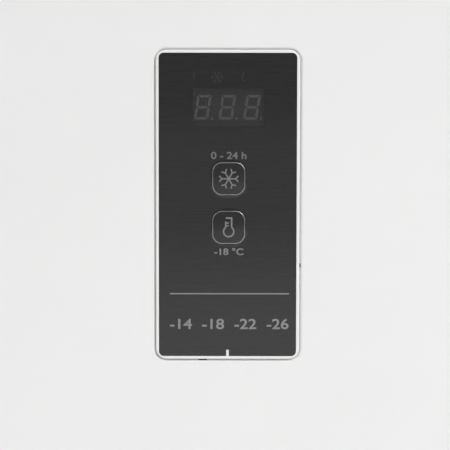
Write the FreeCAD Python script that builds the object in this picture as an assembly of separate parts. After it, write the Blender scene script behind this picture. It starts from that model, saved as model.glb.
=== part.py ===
import FreeCAD, Part
import math
import os

V = FreeCAD.Vector

# All sizes are in millimetres. The front faces -Y and the floor is at Z = 0.

# Cabinet
cabinet_width = 945.0
cabinet_depth = 545.0
cabinet_height = 790.0
floor_gap = 34.0
shell_sheet = 0.8
cabinet_corner = 12.0
rear_return = 30.0
pan_sheet = 1.2
wall_foam = 58.0
floor_foam = 62.0
step_foam = 52.0
liner_sheet = 1.0
liner_corner = 26.0
fit = 0.3
lap = 0.5
hair = 0.01

# Machine compartment in the lower right end
machine_width = 225.0
machine_height = 262.0

# Rim round the mouth of the cabinet
rim_thickness = 9.0
rim_wall = 1.8
rim_outer_skirt = 10.0
rim_inner_skirt = 16.0

# Lid
lid_thickness = 52.0
lid_overhang = 3.5
lid_corner = 20.0
lid_edge = 10.0
lid_sheet = 1.0
lid_liner_sheet = 1.5
bulge_depth = 14.0
bulge_inset = 24.0
bulge_corner = 22.0
gasket_height = 8.0
gasket_width = 14.0
gasket_inset = 7.0
gasket_base = 2.4
gasket_neck = 4.0
gasket_neck_height = 1.2
gasket_bag = 11.0
gasket_rest = 0.3

# Handle on the front edge of the lid
handle_width = 240.0
handle_height = 32.0
handle_reach = 28.0
handle_wall = 4.5
handle_back = 3.0
handle_round = 8.0
handle_drop = 12.0
handle_screw_spacing = 90.0

# Hinges
hinge_spacing = 600.0
hinge_width = 56.0
hinge_sheet = 3.0
hinge_base_height = 100.0
hinge_base_drop = 4.0
hinge_screw_inset = 6.0
leaf_margin = 2.0
leaf_screw_inset = 3.0
ear_gap = 26.0
ear_root = 62.0
axis_rise = 6.0
pin_radius = 3.0
pin_clearance = 0.05
pin_head = 1.5
knuckle_wall = 4.0
knuckle_length = 11.0
knuckle_clearance = 0.5
leaf_clearance = 1.0
spring_wire = 1.8
spring_mean = 6.3
spring_pitch = 2.5
spring_turns = 4
keeper_wall = 1.6
keeper_height = 4.0
backing_sheet = 2.5
screw_radius = 2.0
screw_head_radius = 4.0
screw_head_height = 1.8
screw_tip = 3.0
screw_edge = 1.5
pocket_gap = 1.0

# Feet and rollers
foot_radius = 20.0
foot_taper = 4.0
foot_stud_radius = 4.0
foot_inset_x = 70.0
foot_inset_y = 55.0
roller_radius = 15.0
roller_width = 22.0
roller_round = 2.0
roller_side_gap = 1.0
roller_inset_x = 80.0
roller_inset_y = 60.0
bracket_sheet = 2.0
bracket_length = 56.0
bracket_cheek = 24.0
bracket_cheek_drop = 8.4
axle_radius = 3.0
axle_clearance = 0.06
axle_head = 1.5
axle_head_sheet = 2.2
rivet_radius = 2.0
rivet_head_radius = 3.6
rivet_head_height = 1.2

# Cold circuit
evaporator_radius = 4.0
evaporator_pitch = 70.0
evaporator_margin = 40.0
evaporator_ramp = 120.0
condenser_radius = 2.5
condenser_bend = 24.0
condenser_pitch = 100.0
condenser_passes = 4
condenser_rise = 60.0
condenser_return = 100.0
condenser_outlet = 50.0
groove_gap = 0.4
pipe_end = 26.0
compressor_radius = 70.0
compressor_height = 158.0
compressor_back = 140.0
compressor_seam = 3.0
compressor_dome = 46.0
compressor_heel = 20.0
stub_length = 16.0
stub_spread = 30.0
suction_height = 95.0
discharge_height = 52.0
feet_width = 172.0
feet_depth = 150.0
feet_sheet = 2.5
feet_corner = 14.0
bolt_inset = 14.0
bolt_radius = 3.0
bolt_head_radius = 5.5
bolt_head_height = 4.0
grommet_radius = 10.0
grommet_height = 14.0
terminal_width = 54.0
terminal_depth = 38.0
terminal_height = 62.0
terminal_rise = 22.0
terminal_corner = 4.0
drier_radius = 9.0
drier_length = 82.0
drier_taper = 12.0
capillary_radius = 1.1
capillary_bend = 14.0
pipe_bend = 20.0
cable_radius = 2.6
cable_bend = 30.0
cable_drop = 30.0
cable_sway = 22.0
cable_swing = 10.0
cable_lift = 14.0

# Covers of the machine compartment
cover_width = 176.0
cover_height = 214.0
cover_sheet = 2.0
cover_depth = 13.0
cover_flange = 14.0
cover_corner = 6.0
cover_rise = 16.0
louvre_height = 5.0
louvre_pitch = 14.0
louvre_margin = 18.0
gland_radius = 6.0
gland_tip_radius = 3.6
gland_length = 18.0
gland_flange_radius = 10.0
gland_flange = 2.0
gland_lock_step = 2.0
grille_width = 150.0
grille_height = 112.0
grille_sheet = 2.4
grille_lip = 5.0
grille_depth = 7.0
grille_slot = 5.0
grille_pitch = 11.0
grille_setback = 150.0
grille_z = 170.0

# Drain
drain_bore = 8.0
drain_wall = 2.0
drain_bend = 16.0
drain_drop = 32.0
drain_inset_x = 130.0
drain_inset_y = 62.0
drain_flange_radius = 15.0
drain_flange = 1.6
plug_clearance = 0.2
plug_length = 13.0
plug_flange_radius = 13.0
plug_flange = 3.0
plug_grip = 9.0
plug_grip_sheet = 4.0
plug_grip_round = 1.5
cap_flange = 5.0
cap_overhang = 1.0
cap_grip = 4.0

# Temperature sensor on the liner
sensor_width = 64.0
sensor_height = 34.0
sensor_depth = 10.0
sensor_wall = 1.6
sensor_corner = 6.0
sensor_slot_pitch = 19.2
sensor_slot_rise = 6.8
sensor_radius = 3.0
sensor_length = 26.0
sensor_rise = 120.0

# Basket
basket_width = 240.0
basket_height = 190.0
basket_drop = 26.0
basket_end_gap = 10.0
basket_side_gap = 10.0
basket_wire = 1.5
basket_bar = 2.0
basket_spacing = 30.0
basket_bars = 4
hanger_wire = 2.2
hanger_reach = 15.0
hanger_leg = 46.0
hanger_bend = 6.0
hanger_spacing = 150.0
weld_gap = 0.1

# Control panel on the front wall
panel_width = 58.9
panel_height = 126.9
panel_corner = 4.4
panel_round = 0.45
panel_border = 1.2
panel_z = 190.0
seat_depth = 1.2
seat_gap = 0.42
seat_bend = 1.0
seat_bend_share = 0.9
ledge_sheet = 0.8
ledge_width = 3.0
overlay_sheet = 0.9
overlay_sunk = 0.3
overlay_corner = 2.0
overlay_gap = 0.08
print_shift = 0.42
tab_width = 1.0
tab_height = 2.5
tab_shift = 0.0
neck_wall = 2.0
neck_lap = 0.3
neck_margin = 0.8
cutout_gap = 0.4
clip_width = 10.0
clip_reach = 1.4
clip_depth = 2.2
clip_spacing = 70.0
pry_shift = -10.2
pry_width = 3.4
pry_height = 0.7
notch_drop = 24.8
notch_height = 1.7
notch_width = 0.6
display_width = 29.6
display_height = 15.6
display_rise = 40.1
display_shift = 0.3
display_depth = 7.0
display_gap = 0.3
lens_gap = 0.06
digit_pitch = 10.05
digit_height = 10.1
digit_width = 5.9
digit_slant = 8.6
digit_shift = -0.5
segment_stroke = 1.1
segment_gap = 0.2
segment_corner = 0.3
segment_sheet = 0.15
point_radius = 0.5
point_offset = 3.75
key_size = 13.8
key_corner = 4.2
key_gap = 0.15
key_raise = 0.9
key_crown = 0.5
key_edge = 0.45
key_flange = 0.9
key_flange_sheet = 1.0
key_stem_radius = 2.2
key_travel = 0.6
upper_key_rise = 10.95
lower_key_drop = 9.0
switch_size = 6.2
switch_body = 2.4
switch_corner = 0.5
switch_plunger = 1.5
switch_plunger_radius = 1.7
switch_clearance = 0.05
board_sheet = 1.6
board_gap = 0.5
board_corner = 1.0
board_screw_bite = 4.0
boss_size = 6.0
housing_depth = 11.0
housing_wall = 1.6

# Places that follow from the sizes above
half_width = cabinet_width / 2
knuckle_radius = pin_radius + knuckle_wall
pin_standoff = knuckle_radius + leaf_clearance
hinge_reach = lid_overhang + hinge_sheet + pin_standoff + knuckle_radius
gland_reach = cover_depth + gland_flange + gland_length - shell_sheet
rear_reach = max(hinge_reach, gland_reach)
overall_depth = handle_reach + lid_overhang + cabinet_depth + rear_reach
front_y = handle_reach + lid_overhang - overall_depth / 2
rear_y = front_y + cabinet_depth
rear_face = rear_y - shell_sheet
rear_inside = rear_face - shell_sheet
pan_top = floor_gap + pan_sheet
rim_bottom = cabinet_height - rim_thickness
machine_left = half_width - shell_sheet - machine_width
machine_middle = machine_left + machine_width / 2
machine_top = pan_top + machine_height
liner_half = half_width - shell_sheet - wall_foam
liner_front = front_y + shell_sheet + wall_foam
liner_rear = rear_inside - wall_foam
liner_floor = pan_top + floor_foam
step_left = machine_left - step_foam
step_floor = machine_top + step_foam
lid_half = half_width + lid_overhang
lid_front = front_y - lid_overhang
lid_rear = rear_y + lid_overhang
lid_bottom = cabinet_height + gasket_height
lid_top = lid_bottom + lid_thickness
mouth_half = liner_half - liner_sheet - rim_wall
mouth_front = liner_front + liner_sheet + rim_wall
mouth_rear = liner_rear - liner_sheet - rim_wall
axis_y = lid_rear + hinge_sheet + pin_standoff
axis_z = lid_bottom + axis_rise
hinge_top = rim_bottom - rim_outer_skirt - hinge_base_drop
compressor_y = rear_y - compressor_back
compressor_bottom = pan_top + grommet_height + feet_sheet
drain_x = -half_width + drain_inset_x
drain_y = liner_front + drain_inset_y
drain_z = liner_floor - drain_drop
panel_x = machine_middle
flange_back = -seat_depth
overlay_back = flange_back + ledge_sheet
overlay_front = overlay_back + overlay_sheet
panel_proud = overlay_front + overlay_sunk
overlay_width = panel_width - 2 * panel_border - 2 * overlay_gap
overlay_height = panel_height - 2 * panel_border - 2 * overlay_gap
window_width = overlay_width - 2 * ledge_width
window_height = overlay_height - 2 * ledge_width
neck_width = window_width + 2 * neck_wall
neck_height = window_height + 2 * neck_wall
neck_corner = overlay_corner
display_front = overlay_back - display_gap - segment_sheet
board_front = display_front - display_depth
neck_rear = board_front - board_sheet - neck_margin
switch_front = board_front + switch_body + switch_plunger
basket_right = mouth_half - basket_end_gap
basket_left = basket_right - basket_width
basket_front = mouth_front + basket_side_gap
basket_rear = mouth_rear - basket_side_gap
basket_top = cabinet_height - basket_drop
basket_bottom = basket_top - basket_height


def rounded_box(x0, x1, y0, y1, z0, z1, radius=0.0):
    if radius <= 0:
        return Part.makeBox(x1 - x0, y1 - y0, z1 - z0, V(x0, y0, z0))
    middles = [(x1 - radius, y1 - radius), (x0 + radius, y1 - radius)]
    middles += [(x0 + radius, y0 + radius), (x1 - radius, y0 + radius)]
    edges = []
    last = V(x1, y0 + radius, z0)
    for turn, (x, y) in enumerate(middles):
        start = turn * math.pi / 2
        circle = Part.Circle(V(x, y, z0), V(0, 0, 1), radius)
        arc = Part.ArcOfCircle(circle, start, start + math.pi / 2).toShape()
        begin = V(x + radius * math.cos(start), y + radius * math.sin(start), z0)
        if (begin - last).Length > 1e-6:
            edges.append(Part.makeLine(last, begin))
        edges.append(arc)
        end = start + math.pi / 2
        last = V(x + radius * math.cos(end), y + radius * math.sin(end), z0)
    return Part.Face(Part.Wire(edges)).extrude(V(0, 0, z1 - z0))


def plate(width, height, w0, w1, radius=0.0, u=0.0, v=0.0):
    """A rounded plate in a local frame: u to the right, v up and w outward."""
    return rounded_box(u - width / 2, u + width / 2, v - height / 2, v + height / 2, w0, w1, radius)


def disc(radius, w0, w1, u=0.0, v=0.0):
    return Part.makeCylinder(radius, w1 - w0, V(u, v, w0))


def place(shape, turn, x, y, z):
    """Stands a local shape upright and turns it: 0 faces front, 90 right, 180 rear, 270 left."""
    placed = shape.copy()
    placed.rotate(V(0, 0, 0), V(1, 0, 0), 90)
    placed.rotate(V(0, 0, 0), V(0, 0, 1), turn)
    placed.translate(V(x, y, z))
    return placed


def rod(radius, start, end):
    run = end - start
    return Part.makeCylinder(radius, run.Length, start, run)


def along_x(radius, x0, x1, y, z):
    return rod(radius, V(x0, y, z), V(x1, y, z))


def join(shapes):
    return shapes[0].multiFuse(shapes[1:])


def cut_all(shape, cutters):
    return shape.cut(cutters)


def group(shapes):
    return Part.makeCompound(shapes)


def edges_at(shape, height):
    """Edges that lie wholly in the level plane at this height."""
    found = []
    for edge in shape.Edges:
        box = edge.BoundBox
        if abs(box.ZMin - height) < 1e-4 and abs(box.ZMax - height) < 1e-4:
            found.append(edge)
    return found


def unit(vector):
    return vector * (1.0 / vector.Length)


def rounded_path(points, bend):
    """Straight runs through the points, with an arc at each bend."""
    edges = []
    last = points[0]
    for before, corner, after in zip(points, points[1:], points[2:]):
        inward = unit(corner - before)
        outward = unit(after - corner)
        turn = inward.getAngle(outward)
        shorter = min((corner - before).Length, (after - corner).Length)
        reach = min(bend * math.tan(turn / 2), 0.45 * shorter)
        radius = reach / math.tan(turn / 2)
        begin = corner - inward * reach
        end = corner + outward * reach
        middle = corner + unit(outward - inward) * (radius / math.cos(turn / 2) - radius)
        if (begin - last).Length > 1e-6:
            edges.append(Part.makeLine(last, begin))
        edges.append(Part.Arc(begin, middle, end).toShape())
        last = end
    edges.append(Part.makeLine(last, points[-1]))
    return Part.Wire(edges)


def sweep(path, radius, start, heading):
    profile = Part.Wire(Part.makeCircle(radius, start, heading))
    return path.makePipeShell([profile], True, False)


def tube(points, bend, radius):
    return sweep(rounded_path(points, bend), radius, points[0], points[1] - points[0])


def print_least_gap(name, path, radius, spacing, apart):
    """Least gap between stretches of one tube that lie farther apart than this along it."""
    count = int(path.Length / spacing)
    points = path.discretize(Number=count)
    step = path.Length / (count - 1)
    skip = int(apart / step) + 1
    least = path.Length
    for index, point in enumerate(points):
        for other in points[index + skip:]:
            least = min(least, point.distanceToPoint(other))
    print(name, "least gap to itself", round(least - 2 * radius, 2), "mm")


def screw(length, head_radius=screw_head_radius, head_height=screw_head_height, radius=screw_radius):
    """Head outward from w = 0, shank inward."""
    return join([disc(head_radius, 0, head_height), disc(radius, -length, hair)])


# Cabinet


def cabinet_block(inset, rear, z0, z1):
    radius = cabinet_corner - inset
    half = half_width - inset
    return rounded_box(-half, half, front_y + inset, rear, z0, z1, radius)


def pressed_seat(shell):
    """Presses the front sheet in round the panel, as a shallow tray with a bent lip."""
    wide = panel_width + 2 * seat_gap
    tall = panel_height + 2 * seat_gap
    corner = panel_corner + seat_gap
    tray = plate(wide + 2 * shell_sheet, tall + 2 * shell_sheet, -seat_depth - shell_sheet, -shell_sheet / 2,
                 corner + shell_sheet)
    pocket = plate(wide, tall, -seat_depth, 1, corner)
    pressed = shell.fuse(on_panel(tray)).cut(on_panel(pocket))
    lip = []
    for edge in pressed.Edges:
        box = edge.BoundBox
        on_front = abs(box.YMin - front_y) < 1e-4 and abs(box.YMax - front_y) < 1e-4
        beside = abs(box.Center.x - panel_x) < wide / 2 + fit
        level = abs(box.Center.z - panel_z) < tall / 2 + fit
        if on_front and beside and level:
            lip.append(edge)
    return pressed.makeFillet(min(seat_bend, seat_bend_share * seat_depth), lip)


def outer_shell():
    shell = cabinet_block(0, rear_y, floor_gap, rim_bottom)
    inside = cabinet_block(shell_sheet, rear_face, floor_gap - 1, rim_bottom + 1)
    back = half_width - rear_return
    open_back = rounded_box(-back, back, rear_face - 1, rear_y + 1, floor_gap - 1, rim_bottom + 1)
    through = -seat_depth - shell_sheet - 1
    cutout_width = neck_width + 2 * cutout_gap
    cutout_height = neck_height + 2 * cutout_gap
    cutout = plate(cutout_width, cutout_height, through, 1, neck_corner + cutout_gap)
    edge_low = -panel_height / 2
    pry_reach = (panel_height - cutout_height) / 2 + pry_height
    pry = plate(pry_width, pry_reach, through, 1, 0, pry_shift, edge_low - pry_height + pry_reach / 2)
    notch_reach = (panel_width - cutout_width) / 2 + notch_width
    notch_u = panel_width / 2 + notch_width - notch_reach / 2
    notch = plate(notch_reach, notch_height, through, 1, 0, notch_u, -notch_drop)
    panel_holes = [on_panel(hole) for hole in (cutout, pry, notch)]
    drain_hole = disc(drain_bore + drain_wall + fit, through, 1)
    grille_hole = plate(grille_width - 2 * grille_lip + 2 * fit, grille_height - 2 * grille_lip + 2 * fit,
                        through, 1)
    holes = [place(drain_hole, 0, drain_x, front_y, drain_z)]
    holes.append(place(grille_hole, 90, half_width, front_y + grille_setback, grille_z))
    wrapped = cut_all(shell, [inside, open_back])
    return cut_all(pressed_seat(wrapped), panel_holes + holes)


def cover_place():
    x = half_width - rear_return - fit - cover_width / 2
    z = pan_top + cover_rise + cover_height / 2
    return x, z


def cover_screw_places():
    u = cover_width / 2 - cover_flange / 2
    v = cover_height / 2 - cover_flange / 2
    return [(-u, -v), (u, -v), (-u, v), (u, v)]


def hinge_screw_places():
    u = hinge_width / 2 - screw_head_radius - screw_edge
    upper = hinge_top - screw_head_radius - hinge_screw_inset
    lower = hinge_top - hinge_base_height + screw_head_radius + hinge_screw_inset
    return [(side * u, z) for side in (-1, 1) for z in (upper, lower)]


def leaf_screw_places():
    u = hinge_width / 2 - screw_head_radius - screw_edge
    low = lid_bottom + leaf_margin + screw_head_radius + leaf_screw_inset
    high = lid_top - lid_edge - leaf_margin - screw_head_radius - leaf_screw_inset
    return [(side * u, z) for side in (-1, 1) for z in (low, high)]


def hinge_middles():
    return [-hinge_spacing / 2, hinge_spacing / 2]


def rear_panel():
    half = half_width - cabinet_corner
    panel = rounded_box(-half, half, rear_inside, rear_face, pan_top, rim_bottom)
    x, z = cover_place()
    opening = plate(cover_width - 2 * cover_flange, cover_height - 2 * cover_flange, -shell_sheet - 1, 1)
    cutters = [place(opening, 180, x, rear_face, z)]
    hole = disc(screw_radius + fit, -shell_sheet - 1, 1)
    for u, v in cover_screw_places():
        cutters.append(place(hole, 180, x + u, rear_face, z + v))
    for middle in hinge_middles():
        for u, v in hinge_screw_places():
            cutters.append(place(hole, 180, middle + u, rear_face, v))
    return cut_all(panel, cutters)


def bolt_places():
    u = feet_width / 2 - bolt_inset
    v = feet_depth / 2 - bolt_inset
    return [(machine_middle + a * u, compressor_y + b * v) for a in (-1, 1) for b in (-1, 1)]


def roller_places():
    x = half_width - roller_inset_x
    return [(-x, rear_y - roller_inset_y), (x, rear_y - roller_inset_y)]


def foot_places():
    x = half_width - foot_inset_x
    return [(-x, front_y + foot_inset_y), (x, front_y + foot_inset_y)]


def rivet_places(x, y):
    reach = bracket_length / 2 - rivet_head_radius - 2
    return [(x, y - reach), (x, y + reach)]


def base_pan():
    pan = cabinet_block(shell_sheet, rear_face, floor_gap, pan_top)
    holes = [disc(bolt_radius + fit, floor_gap - 1, pan_top + 1, x, y) for x, y in bolt_places()]
    for x, y in foot_places():
        holes.append(disc(foot_stud_radius + fit, floor_gap - 1, pan_top + 1, x, y))
    for x, y in roller_places():
        for u, v in rivet_places(x, y):
            holes.append(disc(rivet_radius + fit, floor_gap - 1, pan_top + 1, u, v))
    return cut_all(pan, holes)


def liner_block(inset, top, grow=0.0):
    """Outline of the liner, drawn in by a thickness or grown by a groove."""
    move = inset - grow
    front = liner_front + move
    rear = liner_rear - move
    radius = liner_corner - move
    low = rounded_box(-liner_half + move, step_left - move, front, rear, liner_floor + inset, top, radius)
    high = rounded_box(-liner_half + move, liner_half - move, front, rear, step_floor + inset, top, radius)
    return low.fuse(high)


def inner_liner():
    shell = liner_block(0, rim_bottom).cut(liner_block(liner_sheet, rim_bottom + 1))
    hole = disc(drain_bore, liner_floor - 1, liner_floor + liner_sheet + 1, drain_x, drain_y)
    return shell.cut(hole)


def top_rim():
    radius = cabinet_corner + rim_wall
    half = half_width + rim_wall
    low = rim_bottom - rim_outer_skirt
    body = rounded_box(-half, half, front_y - rim_wall, rear_y + rim_wall, low, cabinet_height, radius)
    body = body.makeFillet(rim_wall, edges_at(body, cabinet_height))
    corner = liner_corner - liner_sheet
    wall_in = liner_half - liner_sheet
    skirt = rounded_box(-wall_in, wall_in, liner_front + liner_sheet, liner_rear - liner_sheet,
                        rim_bottom - rim_inner_skirt, cabinet_height, corner)
    under = cabinet_block(0, rear_y, low - 1, rim_bottom)
    mouth = rounded_box(-mouth_half, mouth_half, mouth_front, mouth_rear,
                        rim_bottom - rim_inner_skirt - 1, cabinet_height + 1, corner - rim_wall)
    return body.cut(under).fuse(skirt).cut(mouth)


# Cold circuit


def evaporator_levels():
    """Height of each loop and the place of its right side."""
    levels = []
    offset = evaporator_radius + groove_gap
    height = liner_floor + evaporator_margin
    while height <= step_floor - evaporator_margin:
        levels.append((height, step_left + offset))
        height += evaporator_pitch
    height = step_floor + evaporator_margin
    while height <= rim_bottom - evaporator_margin:
        levels.append((height, liner_half + offset))
        height += evaporator_pitch
    return levels


def evaporator_rear():
    return liner_rear + evaporator_radius + groove_gap


def evaporator_inlet():
    low = evaporator_levels()[0][0] - 4 * evaporator_radius
    return V(machine_left + pipe_end, evaporator_rear(), low)


def evaporator_outlet():
    right = liner_half + 5 * evaporator_radius
    return V(right, liner_front - evaporator_radius - groove_gap, machine_top - pipe_end)


def ramp_middle():
    return (step_left - liner_half) / 2


def evaporator_points():
    offset = evaporator_radius + groove_gap
    left = -liner_half - offset
    front = liner_front - offset
    rear = evaporator_rear()
    ramp_right = ramp_middle() + evaporator_ramp / 2
    ramp_left = ramp_middle() - evaporator_ramp / 2
    inlet = evaporator_inlet()
    outlet = evaporator_outlet()
    levels = evaporator_levels()
    points = [inlet, V(ramp_right, rear, inlet.z)]
    for z, right in levels[:-1]:
        points += [V(ramp_left, rear, z), V(left, rear, z), V(left, front, z)]
        points += [V(right, front, z), V(right, rear, z), V(ramp_right, rear, z)]
    last = levels[-1][0]
    points += [V(ramp_left, rear, last), V(left, rear, last), V(left, front, last)]
    points += [V(outlet.x, front, last), outlet]
    return points


def evaporator_coil():
    points = evaporator_points()
    bend = liner_corner + evaporator_radius + groove_gap
    path = rounded_path(points, bend)
    print_least_gap("evaporator_coil", path, evaporator_radius, 20.0, 3 * bend)
    return sweep(path, evaporator_radius, points[0], points[1] - points[0])


def condenser_levels():
    return [machine_top + condenser_rise + turn * condenser_pitch for turn in range(condenser_passes)]


def condenser_side():
    return half_width - shell_sheet - groove_gap - condenser_radius


def condenser_inlet():
    return V(condenser_side(), rear_y - condenser_return, machine_top - pipe_end)


def condenser_end():
    jog = drier_radius + groove_gap
    return V(condenser_side() - jog, rear_y - condenser_outlet, machine_top - 2 * pipe_end)


def condenser_points():
    right = condenser_side()
    front = front_y + shell_sheet + groove_gap + condenser_radius
    rear = rear_y - condenser_return
    levels = condenser_levels()
    points = [condenser_inlet()]
    for turn, z in enumerate(levels):
        side = right if turn % 2 == 0 else -right
        points += [V(side, rear, z), V(side, front, z), V(-side, front, z), V(-side, rear, z)]
    end = condenser_end()
    points[-1] = V(right, end.y, levels[-1])
    points.append(V(right, end.y, machine_top - pipe_end / 2))
    points += [V(end.x, end.y, machine_top - 1.5 * pipe_end), end]
    return points


def condenser_coil():
    points = condenser_points()
    path = rounded_path(points, condenser_bend)
    print_least_gap("condenser_coil", path, condenser_radius, 20.0, 4 * condenser_bend)
    return sweep(path, condenser_radius, points[0], points[1] - points[0])


def evaporator_grooves():
    depth = 2 * (evaporator_radius + groove_gap)
    half = evaporator_radius + groove_gap
    levels = evaporator_levels()
    front = liner_front - depth
    rear = liner_rear + depth
    radius = liner_corner + depth
    grooves = []
    for z, right in levels:
        edge = right + half
        grooves.append(rounded_box(-liner_half - depth, edge, front, rear, z - half, z + half, radius))
    inlet = evaporator_inlet()
    top = levels[-1][0] + half
    ramp_half = evaporator_ramp / 2 + liner_corner
    grooves.append(rounded_box(ramp_middle() - ramp_half, ramp_middle() + ramp_half,
                               liner_rear - 1, rear, inlet.z - half, top))
    grooves.append(rounded_box(ramp_middle(), machine_left + 1, liner_rear, rear,
                               inlet.z - half, inlet.z + half))
    outlet = evaporator_outlet()
    near, far = outlet.y - half, outlet.y + half
    grooves.append(rounded_box(liner_half - 2 * liner_corner, outlet.x + half, near, far,
                               top - 2 * half, top))
    grooves.append(rounded_box(outlet.x - half - liner_corner, outlet.x + half, near, far,
                               machine_top - 1, top))
    return grooves


def condenser_grooves():
    depth = 2 * (condenser_radius + groove_gap)
    half = condenser_radius + groove_gap
    inside = half_width - shell_sheet
    back = rear_y - condenser_return - half
    stop = rear_y - condenser_outlet + half
    levels = condenser_levels()
    grooves = []
    for z in levels:
        ring = cabinet_block(shell_sheet, rear_inside, z - half, z + half)
        keep = rounded_box(depth - inside, inside - depth, front_y + shell_sheet + depth, rear_y,
                           z - half - 1, z + half + 1, condenser_bend - half)
        behind = rounded_box(-half_width, half_width, stop, rear_y, z - half - 1, z + half + 1)
        grooves.append(ring.cut([keep, behind]))
    top = levels[-1] + half
    grooves.append(rounded_box(inside - depth, inside + 1, back - condenser_bend, stop, machine_top - 1, top))
    grooves.append(rounded_box(-inside - 1, -inside + depth, back - condenser_bend, stop,
                               levels[0] - half, top))
    return grooves


def drain_route():
    return [V(drain_x, drain_y, liner_floor), V(drain_x, drain_y, drain_z), V(drain_x, front_y, drain_z)]


def hinge_pockets():
    depth = backing_sheet + screw_tip + pocket_gap
    half = hinge_width / 2 + pocket_gap
    low = hinge_top - hinge_base_height - pocket_gap
    pockets = []
    for middle in hinge_middles():
        pockets.append(rounded_box(middle - half, middle + half, rear_inside - depth, rear_y, low,
                                   hinge_top + pocket_gap))
    return pockets


def foam_insulation():
    foam = cabinet_block(shell_sheet, rear_inside, pan_top, rim_bottom)
    machine = rounded_box(machine_left, half_width, front_y - 1, rear_y, pan_top - 1, machine_top)
    cutters = [liner_block(0, rim_bottom + 1), machine]
    cutters += evaporator_grooves() + condenser_grooves() + hinge_pockets()
    cutters.append(tube(drain_route(), drain_bend, drain_bore + drain_wall + fit))
    return cut_all(foam, cutters)


def compressor():
    low = compressor_bottom
    high = low + compressor_height
    radius = compressor_radius
    shoulder = high - compressor_dome
    lean = math.sqrt(0.5)
    ball = (radius * radius + compressor_dome * compressor_dome) / (2 * compressor_dome)
    heel = compressor_heel
    points = [V(0, 0, low), V(radius - heel, 0, low), V(radius, 0, low + heel), V(radius, 0, shoulder)]
    corner = V(radius - heel * (1 - lean), 0, low + heel * (1 - lean))
    half = radius / 2
    dome = V(half, 0, high - ball + math.sqrt(ball * ball - half * half))
    edges = [Part.makeLine(points[0], points[1]), Part.Arc(points[1], corner, points[2]).toShape()]
    edges += [Part.makeLine(points[2], points[3]), Part.Arc(points[3], dome, V(0, 0, high)).toShape()]
    edges.append(Part.makeLine(V(0, 0, high), points[0]))
    pot = Part.Face(Part.Wire(edges)).revolve(V(0, 0, 0), V(0, 0, 1), 360)
    seam_z = low + compressor_height / 2
    seam = Part.makeCylinder(radius + compressor_seam, 2 * compressor_seam, V(0, 0, seam_z))
    out = -radius - stub_length
    stubs = []
    for x, z, pipe in ((stub_spread, suction_height, evaporator_radius),
                       (-stub_spread, discharge_height, condenser_radius)):
        stubs.append(rod(pipe + 1, V(x, -radius / 2, low + z), V(x, out, low + z)))
    body = join([pot, seam] + stubs)
    body.translate(V(machine_middle, compressor_y, 0))
    return body


def compressor_feet():
    x = feet_width / 2
    y = feet_depth / 2
    low = pan_top + grommet_height
    feet = rounded_box(machine_middle - x, machine_middle + x, compressor_y - y, compressor_y + y,
                       low, low + feet_sheet, feet_corner)
    holes = [disc(bolt_radius + fit, low - 1, low + feet_sheet + 1, u, v) for u, v in bolt_places()]
    return cut_all(feet, holes)


def compressor_grommets():
    high = pan_top + grommet_height
    rings = []
    for x, y in bolt_places():
        ring = disc(grommet_radius, pan_top, high, x, y)
        waist = disc(grommet_radius + 1, pan_top + grommet_height / 3, high - grommet_height / 3, x, y)
        core = disc(grommet_radius - 2, pan_top, high, x, y)
        ring = ring.cut(waist.cut(core))
        rings.append(ring.cut(disc(bolt_radius + fit, pan_top - 1, high + 1, x, y)))
    return group(rings)


def hexagon(radius, z0, z1, x, y):
    turns = [k * math.pi / 3 for k in range(7)]
    corners = [V(x + radius * math.cos(turn), y + radius * math.sin(turn), z0) for turn in turns]
    return Part.Face(Part.makePolygon(corners)).extrude(V(0, 0, z1 - z0))


def compressor_bolts():
    top = compressor_bottom + bolt_head_height
    bolts = []
    for x, y in bolt_places():
        head = hexagon(bolt_head_radius, floor_gap - bolt_head_height, floor_gap, x, y)
        nut = hexagon(bolt_head_radius, compressor_bottom, top, x, y)
        bolts.append(join([head, nut, disc(bolt_radius, floor_gap - 1, top + 2, x, y)]))
    return group(bolts)


def terminal_front():
    return compressor_y - compressor_radius - compressor_seam - terminal_depth


def terminal_cover():
    low = compressor_bottom + terminal_rise
    half = terminal_width / 2 - stub_spread / 2
    box = rounded_box(machine_middle - half, machine_middle + half, terminal_front(), compressor_y,
                      low, low + terminal_height, terminal_corner)
    pot = Part.makeCylinder(compressor_radius + compressor_seam + fit, 2 * compressor_height,
                            V(machine_middle, compressor_y, 0))
    return box.cut(pot)


def suction_pipe():
    start = evaporator_outlet()
    x = machine_middle + stub_spread
    end = V(x, compressor_y - compressor_radius - stub_length, compressor_bottom + suction_height)
    points = [start, V(start.x, start.y, end.z), V(x, start.y + 4 * pipe_bend, end.z), end]
    return tube(points, pipe_bend, evaporator_radius)


def discharge_pipe():
    goal = condenser_inlet()
    x = machine_middle - stub_spread
    z = compressor_bottom + discharge_height
    start = V(x, compressor_y - compressor_radius - stub_length, z)
    ahead = terminal_front() - 2 * pipe_bend
    points = [start, V(x, ahead, z), V(goal.x, ahead, z), V(goal.x, goal.y, z), goal]
    return tube(points, pipe_bend, condenser_radius)


def filter_drier():
    top = condenser_end()
    low = top.z - drier_length
    points = [V(0, 0, top.z), V(condenser_radius, 0, top.z), V(drier_radius, 0, top.z - drier_taper)]
    points += [V(drier_radius, 0, low + drier_taper), V(condenser_radius, 0, low)]
    points += [V(0, 0, low), V(0, 0, top.z)]
    body = Part.Face(Part.makePolygon(points)).revolve(V(0, 0, 0), V(0, 0, 1), 360)
    body.translate(V(top.x, top.y, 0))
    return body


def capillary_tube():
    top = condenser_end()
    inlet = evaporator_inlet()
    start = V(top.x, top.y, top.z - drier_length)
    ahead = V(inlet.x + 2 * capillary_bend, inlet.y, inlet.z)
    points = [start, V(top.x, top.y, inlet.z), ahead, inlet]
    return tube(points, capillary_bend, capillary_radius)


# Covers of the machine compartment


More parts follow.
